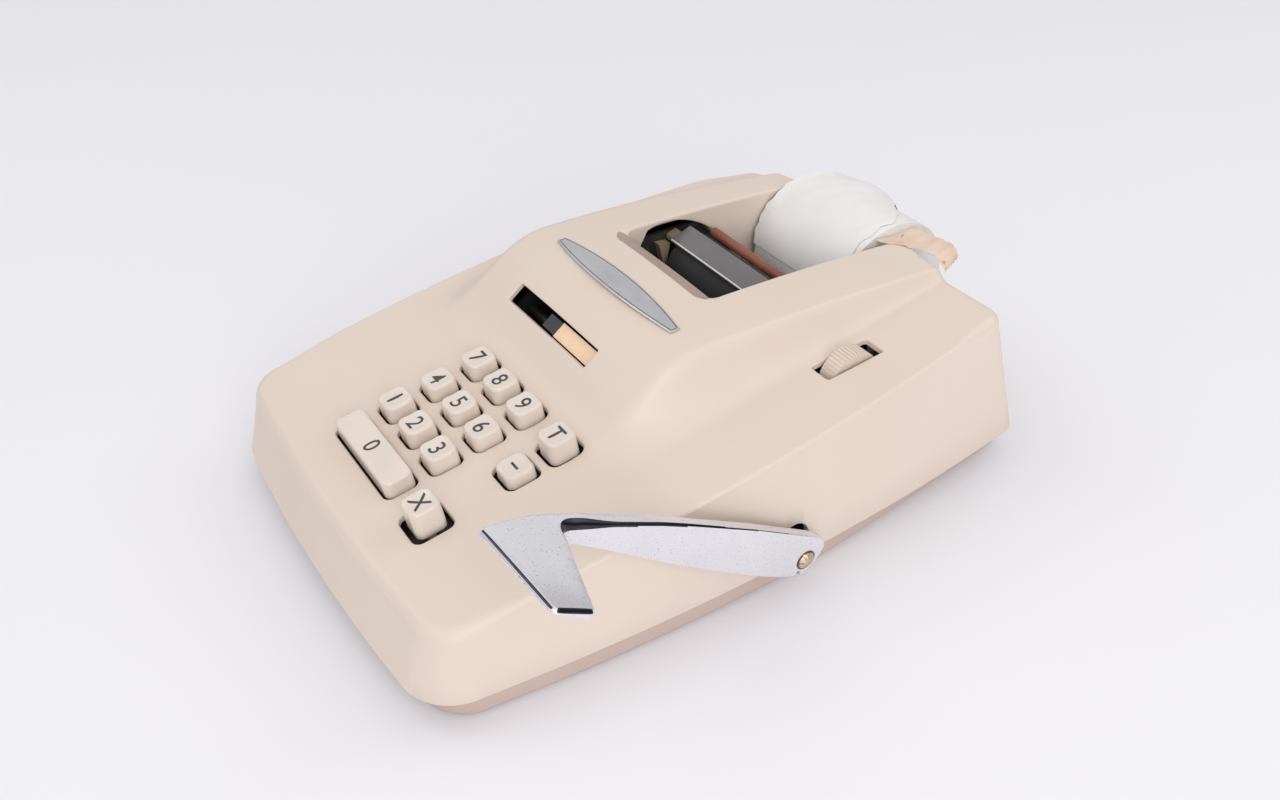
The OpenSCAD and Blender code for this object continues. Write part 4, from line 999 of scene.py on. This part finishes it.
def growWheel():
    tree, ids, given, result = newTree("feed_wheel_ribs", {
        "Ribs": "NodeSocketInt", "Core Radius": "NodeSocketFloat", "Width": "NodeSocketFloat",
        "Rib Size": "NodeSocketVector", "Hub Radius": "NodeSocketFloat", "Hub Length": "NodeSocketFloat",
        "Hub Shift": "NodeSocketVector"})
    core = addNode(tree, "GeometryNodeMeshCylinder", Vertices=144)
    hub = addNode(tree, "GeometryNodeMeshCylinder", Vertices=64)
    moved = addNode(tree, "GeometryNodeTransform")
    rib = addNode(tree, "GeometryNodeMeshCube")
    circle = addNode(tree, "GeometryNodeMeshCircle")
    place = addNode(tree, "GeometryNodeInstanceOnPoints")
    index = addNode(tree, "GeometryNodeInputIndex")
    step = addNode(tree, "ShaderNodeMath", operation="DIVIDE")
    step.inputs[0].default_value = 2 * math.pi
    turn = addNode(tree, "ShaderNodeMath", operation="MULTIPLY")
    spin = addNode(tree, "ShaderNodeCombineXYZ")
    join = addNode(tree, "GeometryNodeJoinGeometry")
    wire(tree, (given, "Core Radius", core, "Radius"), (given, "Width", core, "Depth"),
         (given, "Hub Radius", hub, "Radius"), (given, "Hub Length", hub, "Depth"),
         (hub, "Mesh", moved, "Geometry"), (given, "Hub Shift", moved, "Translation"),
         (given, "Rib Size", rib, "Size"), (given, "Ribs", circle, "Vertices"),
         (given, "Core Radius", circle, "Radius"), (circle, "Mesh", place, "Points"),
         (rib, "Mesh", place, "Instance"), (given, "Ribs", step, 1), (index, "Index", turn, 0),
         (step, "Value", turn, 1), (turn, "Value", spin, "Z"), (spin, "Vector", place, "Rotation"),
         (core, "Mesh", join, "Geometry"), (moved, "Geometry", join, "Geometry"),
         (place, "Instances", join, "Geometry"))
    dressed(tree, join, "Geometry", casingPlastic, result)
    middle = toFrame([[wheel["x"], shaftLine["platenY"], shaftLine["platenZ"]]])[0]
    turned = Matrix.Translation(middle) @ Matrix.Rotation(math.pi / 2, 4, "Y")
    coreR = (wheel["r"] - wheel["ribH"] / 2 - wheel["ribSink"]) / 1000
    made = bakeTree("feed_wheel_ribbed", tree, ids, {
        "Ribs": wheel["ribs"], "Core Radius": coreR, "Width": wheel["width"] / 1000,
        "Rib Size": (wheel["ribH"] / 1000, wheel["ribW"] / 1000, (wheel["width"] - wheel["ribShort"]) / 1000),
        "Hub Radius": wheel["hubR"] / 1000, "Hub Length": wheel["hubLen"] / 1000,
        "Hub Shift": (0.0, 0.0, -(wheel["width"] + wheel["hubLen"]) / 2000)}, turned)
    return settle(made, "platen", ["feed_wheel"])


def growPaper():
    tree, ids, given, result = newTree("wound_paper", {
        "Turns": "NodeSocketFloat", "Inner": "NodeSocketFloat", "Outer": "NodeSocketFloat",
        "Paper": "NodeSocketFloat", "Width": "NodeSocketFloat", "Steps": "NodeSocketInt"})
    spiral = addNode(tree, "GeometryNodeCurveSpiral", Height=0.0)
    upright = addNode(tree, "GeometryNodeSetCurveNormal", mode="Z_UP")
    section = addNode(tree, "GeometryNodeCurvePrimitiveQuadrilateral")
    sweep = addNode(tree, "GeometryNodeCurveToMesh", **{"Fill Caps": True})
    wire(tree, (given, "Steps", spiral, "Resolution"), (given, "Turns", spiral, "Rotations"),
         (given, "Inner", spiral, "Start Radius"), (given, "Outer", spiral, "End Radius"),
         (spiral, "Curve", upright, "Curve"), (given, "Paper", section, "Width"),
         (given, "Width", section, "Height"), (upright, "Curve", sweep, "Curve"),
         (section, "Curve", sweep, "Profile Curve"))
    dressed(tree, sweep, "Mesh", paperWhite, result)
    middle = toFrame([[winding["left"] + winding["width"] / 2, shaftLine["rollY"], shaftLine["rollZ"]]])[0]
    turned = Matrix.Translation(middle) @ Matrix.Rotation(math.pi / 2, 4, "Y")
    values = {label: winding[label.lower()] / 1000 for label in ("Inner", "Outer", "Paper", "Width")}
    values.update({"Turns": float(winding["turns"]), "Steps": winding["steps"]})
    made = bakeTree("paper_wound", tree, ids, values, turned)
    return settle(made, "paper_supply", ["paper_roll"])


# The loose outer turn: a is the angle round the roll, share the place across its width.
loose = {"out": 3.3, "start": 0.4, "end": 2.9, "lift": 5.0, "liftAt": 0.75, "liftSpan": 0.42, "acrossAt": 0.3,
         "acrossSpan": 0.28, "thick": 0.22, "gap": 0.2, "rows": 90, "cols": 46, "far": 0.5, "farMore": 0.45,
         "farRun": (0.6, 1.0), "ragged": 0.012, "spread": 0.15, "spreadRun": (1.1, 0.7),
         "spreadEnd": (-2.95, 0.3), "crease": 0.22, "creaseEnd": (-2.8, 0.5), "flare": 0.9,
         "flareAcross": 0.05, "flareEnd": (-2.8, 0.6)}


def makeLoose():
    bag = Bag()
    top, under = [], []
    for a in np.linspace(loose["start"], loose["end"], loose["rows"]):
        far = loose["far"] + loose["farMore"] * easeFrom(a, loose["farRun"])
        far = far + loose["ragged"] * math.sin(a * 17)
        opened = easeFrom(a, loose["spreadRun"]) * easeFrom(-a, loose["spreadEnd"])
        spread = loose["spread"] + (1 - loose["spread"]) * opened
        near = loose["ragged"] * math.sin(a * 9) * math.sin(a * 23 + 1)
        near = near - loose["out"] / winding["width"] * spread
        share = near + (far - near) * np.linspace(0, 1, loose["cols"])
        along = (a - loose["liftAt"]) / loose["liftSpan"]
        across = (share - loose["acrossAt"]) / loose["acrossSpan"]
        lift = loose["lift"] * np.exp(-along ** 2) * np.exp(-across ** 2)
        crease = np.sin(share * 31 + a * 3) * np.sin(a * 5 + share * 6) * easeFrom(-a, loose["creaseEnd"])
        flare = np.exp(-(share - near) / loose["flareAcross"]) * easeFrom(-a, loose["flareEnd"])
        height = np.maximum(lift + loose["crease"] * crease + loose["flare"] * flare, 0)
        for side, add in ((top, loose["thick"]), (under, 0.0)):
            radius = winding["outer"] + loose["gap"] + height + add
            side.append(np.column_stack([winding["left"] + share * winding["width"],
                                         shaftLine["rollY"] + radius * math.cos(a),
                                         shaftLine["rollZ"] + radius * math.sin(a)]))
    bag.sheet(top, under)
    return makePiece("paper_loose", bag, [paperWhite], "paper_supply", ["paper_roll"], sharp=60)


growWheel()
growPaper()
makeLoose()
print("feed wheel and paper roll grown")

# The torn end of the paper lies on the casing beside the roll.
torn = {"left": 17.2, "width": 30.0, "thick": 0.3, "rows": 44, "cols": 72, "frontX": [17.2, 21, 25, 35, 47.2],
        "frontY": [123, 125.5, 131.5, 136, 138.6], "rearX": [17.2, 29, 38, 44, 47.2],
        "rearY": [149, 149, 148.6, 147, 144.5], "frontRag": 0.5, "rearRag": 0.4, "rearMost": 149.3,
        "bendBack": 19.0, "lie": 77.3, "over": 0.12, "curl": 1.8, "curlRun": (0.3, 0.5), "droop": 5.0,
        "droopRun": (0.78, 0.22), "droopLess": 0.6, "wave": 0.25, "tipFrom": 0.97, "tipRag": 0.35}


def makeTorn():
    bag = Bag()
    x = np.linspace(0, 1, torn["cols"])
    px = torn["left"] + x * torn["width"]
    ragged = 0.8 * np.sin(x * 23) * np.sin(x * 7 + 1) + 0.45 * np.sin(x * 61)
    front = finePath(torn["frontX"], torn["frontY"], px, 1.0) + ragged * torn["frontRag"]
    rear = finePath(torn["rearX"], torn["rearY"], px, 1.2) + ragged[::-1] * torn["rearRag"]
    rear = np.minimum(rear, torn["rearMost"])
    bendR = casing["edgeR"]
    bendY = casing["midY"] + casing["halfL"] - torn["bendBack"]
    top, under = [], []
    for t in np.linspace(0, 1, torn["rows"]):
        y = front + (rear - front) * t
        past = np.clip(y - bendY, 0, bendR)
        skin = topHeight(px, np.minimum(y, bendY)) - bendR + np.sqrt(bendR ** 2 - past ** 2)
        fall = torn["droop"] * easeFrom(x, torn["droopRun"]) * (1 - torn["droopLess"] * t)
        z = torn["lie"] + torn["curl"] * easeFrom(x, torn["curlRun"]) * t - fall
        z = z + torn["wave"] * np.sin(x * 19 + t * 5) * np.cos(x * 6 - t * 4)
        z = np.where(y < bendY + bendR, np.maximum(z, skin + torn["over"]), z)
        edge = px + torn["tipRag"] * np.sin(t * 31) * (x > torn["tipFrom"])
        under.append(np.column_stack([edge, y, z]))
        top.append(np.column_stack([edge, y, z + torn["thick"]]))
    bag.sheet(top, under)
    return makePiece("paper_torn_end", bag, [paperStained], "machine", ["paper_tail"], sharp=60)


tornPiece = makeTorn()

# Smoked cover, a slanted strip with a bright tear edge at its front.
hood = {"profile": [(55.4, 71.2), (66.3, 75.0), (65.8, 76.4), (54.8, 72.6)], "x0": -42.5, "x1": 18.5,
        "bevel": 0.35, "bevelIn": 0.28, "cornerRun": 0.6, "brightTo": 55.5}


def makeHood():
    bag = Bag()
    raw = np.array(hood["profile"], float)
    dense = []
    for k in range(len(raw)):
        before, here, after = raw[k - 1], raw[k], raw[(k + 1) % len(raw)]
        a, b = (here + (v - here) / np.linalg.norm(v - here) * hood["cornerRun"] for v in (before, after))
        for t in np.linspace(0, 1, 5):
            dense.append((1 - t) ** 2 * a + 2 * t * (1 - t) * here + t * t * b)
    dense = np.array(dense)
    small = dense - outwards(dense) * hood["bevelIn"]

    def at(x, profile):
        return np.column_stack([np.full(len(profile), x), profile])

    x0, x1, bevel = hood["x0"], hood["x1"], hood["bevel"]
    rings = [at(x0, small), at(x0 + bevel, dense), at(x1 - bevel, dense), at(x1, small)]
    bag.stitch(rings)
    bag.looks = [int(np.mean([bag.points[i][1] for i in f]) < hood["brightTo"]) for f in bag.faces]
    bag.lid(rings[0])
    bag.lid(rings[-1])
    looks = [smokedPlastic, brightEdge]
    return makePiece("smoked_hood", bag, looks, "machine", ["print_cover"], sharp=25)


makeHood()
print("paper end and cover made")

# CAD nodes that stay, with their finishes; the dark steel is partly painted shade.
kept = {"rubber_feet": rubberBlack, "case_screws": dullZinc, "frame_plate_left": darkSteelAndShade,
        "frame_plate_right": darkSteelAndShade, "tie_rods": dullZinc, "frame_screws": dullZinc,
        "key_guide_top": darkSteelAndShade, "key_guide_bottom": darkSteelAndShade, "guide_posts": dullZinc,
        "lever_shaft": dullZinc, "lever_crank": darkSteelAndShade, "lever_bushes": brassScrew,
        "lever_bearing": darkSteelAndShade, "platen_roller": rubberBlack, "platen_shaft": dullZinc,
        "pressure_roller": brownRubber, "pressure_shaft": dullZinc,
        "shaft_bracket": darkSteelAndShade, "cover_brackets": tanPaint, "type_wheels": darkSteelAndShade,
        "type_shaft": darkSteelAndShade, "ink_roller": inkFelt, "ink_shaft": darkSteelAndShade, "indicator_rail": darkSteelAndShade,
        "indicator_carriage": darkPlastic, "indicator_strip": peachStrip, "paper_core": cardCore,
        "roll_spindle": dullZinc}
for name, mat in kept.items():
    nodes[name].data.materials.clear()
    nodes[name].data.materials.append(mat)

# Floor, lights and room. The room darkens to the rear, low and right, which the chrome mirrors.
stageSet = {"floor": (0.86, 0.85, 0.885), "mottle": 0.985, "size": 6.0, "drop": 0.0002, "aim": (0, 0, 0.05),
            "world": 0.735, "sky": [(0.0, 0.25), (0.07, 0.4), (0.2, 1.0)], "skyBlue": 1.03,
            "darkRoom": (0.02, 0.02, 0.024),
            "darkParts": [("Y", 0.3, 0.75), ("Z", 0.42, 0.22), ("X", -0.35, -0.1)],
            "lights": [("key_light", (-0.75, -0.65, 1.15), 0.9, 2.6),
                       ("fill_light", (1.2, -0.4, 0.7), 1.2, 8.5), ("rim_light", (0.3, 1.2, 1.0), 1.0, 2.5)]}
bpy.ops.mesh.primitive_plane_add(size=stageSet["size"], location=(0, 0, -stageSet["drop"]))
floor = bpy.context.object
floor.name = "pale_floor"
floorDark = tuple(c * stageSet["mottle"] for c in stageSet["floor"])
floorPaper = finish("floor_paper", stageSet["floor"], floorDark, mottle=2, rough=0.8, bump=0.0)
floor.data.materials.append(floorPaper)

for name, spot, size, power in stageSet["lights"]:
    data = bpy.data.lights.new(name, "AREA")
    data.shape, data.size, data.energy = "DISK", size, power
    lamp = bpy.data.objects.new(name, data)
    lamp.location = spot
    lamp.rotation_euler = (Vector(stageSet["aim"]) - Vector(spot)).to_track_quat("-Z", "Y").to_euler()
    bpy.context.scene.collection.objects.link(lamp)
world = bpy.data.worlds.new("studio")
world.use_nodes = True
room = world.node_tree
backdrop = room.nodes["Background"]
backdrop.inputs["Strength"].default_value = stageSet["world"]
where = addNode(room, "ShaderNodeTexCoord")
split = addNode(room, "ShaderNodeSeparateXYZ")
sky = addNode(room, "ShaderNodeValToRGB")
for at, grey in stageSet["sky"]:
    stop = sky.color_ramp.elements.new(at) if at > 0 else sky.color_ramp.elements[0]
    stop.position = at
    stop.color = (grey, grey, grey * stageSet["skyBlue"], 1)
wire(room, (where, "Generated", split, "Vector"), (split, "Z", sky, "Fac"))
shade = None
for axis, start, end in stageSet["darkParts"]:
    part = addNode(room, "ShaderNodeMapRange", **{"From Min": start, "From Max": end})
    wire(room, (split, axis, part, "Value"))
    if shade is None:
        shade = part.outputs["Result"]
        continue
    both = addNode(room, "ShaderNodeMath", operation="MULTIPLY")
    room.links.new(shade, both.inputs[0])
    room.links.new(part.outputs["Result"], both.inputs[1])
    shade = both.outputs["Value"]
room.links.new(blend(room, shade, sky.outputs["Color"], stageSet["darkRoom"]), backdrop.inputs["Color"])
bpy.context.scene.world = world
bpy.context.scene.view_settings.view_transform = "Standard"

lens = {"azimuth": 56.105, "elevation": 37.178, "pixels": 1190.0, "imageWidth": 1280.0, "sensor": 36.0,
        "place": (343.48, -221.10, 340.64)}
camData = bpy.data.cameras.new("photo_camera")
camData.sensor_width = lens["sensor"]
camData.lens = lens["sensor"] * lens["pixels"] / lens["imageWidth"]
camera = bpy.data.objects.new("photo_camera", camData)
camera.location = toFrame([lens["place"]])[0]
camera.rotation_euler = (math.radians(90 - lens["elevation"]), 0, math.radians(lens["azimuth"]))
bpy.context.scene.collection.objects.link(camera)
bpy.context.scene.camera = camera
print("stage set")
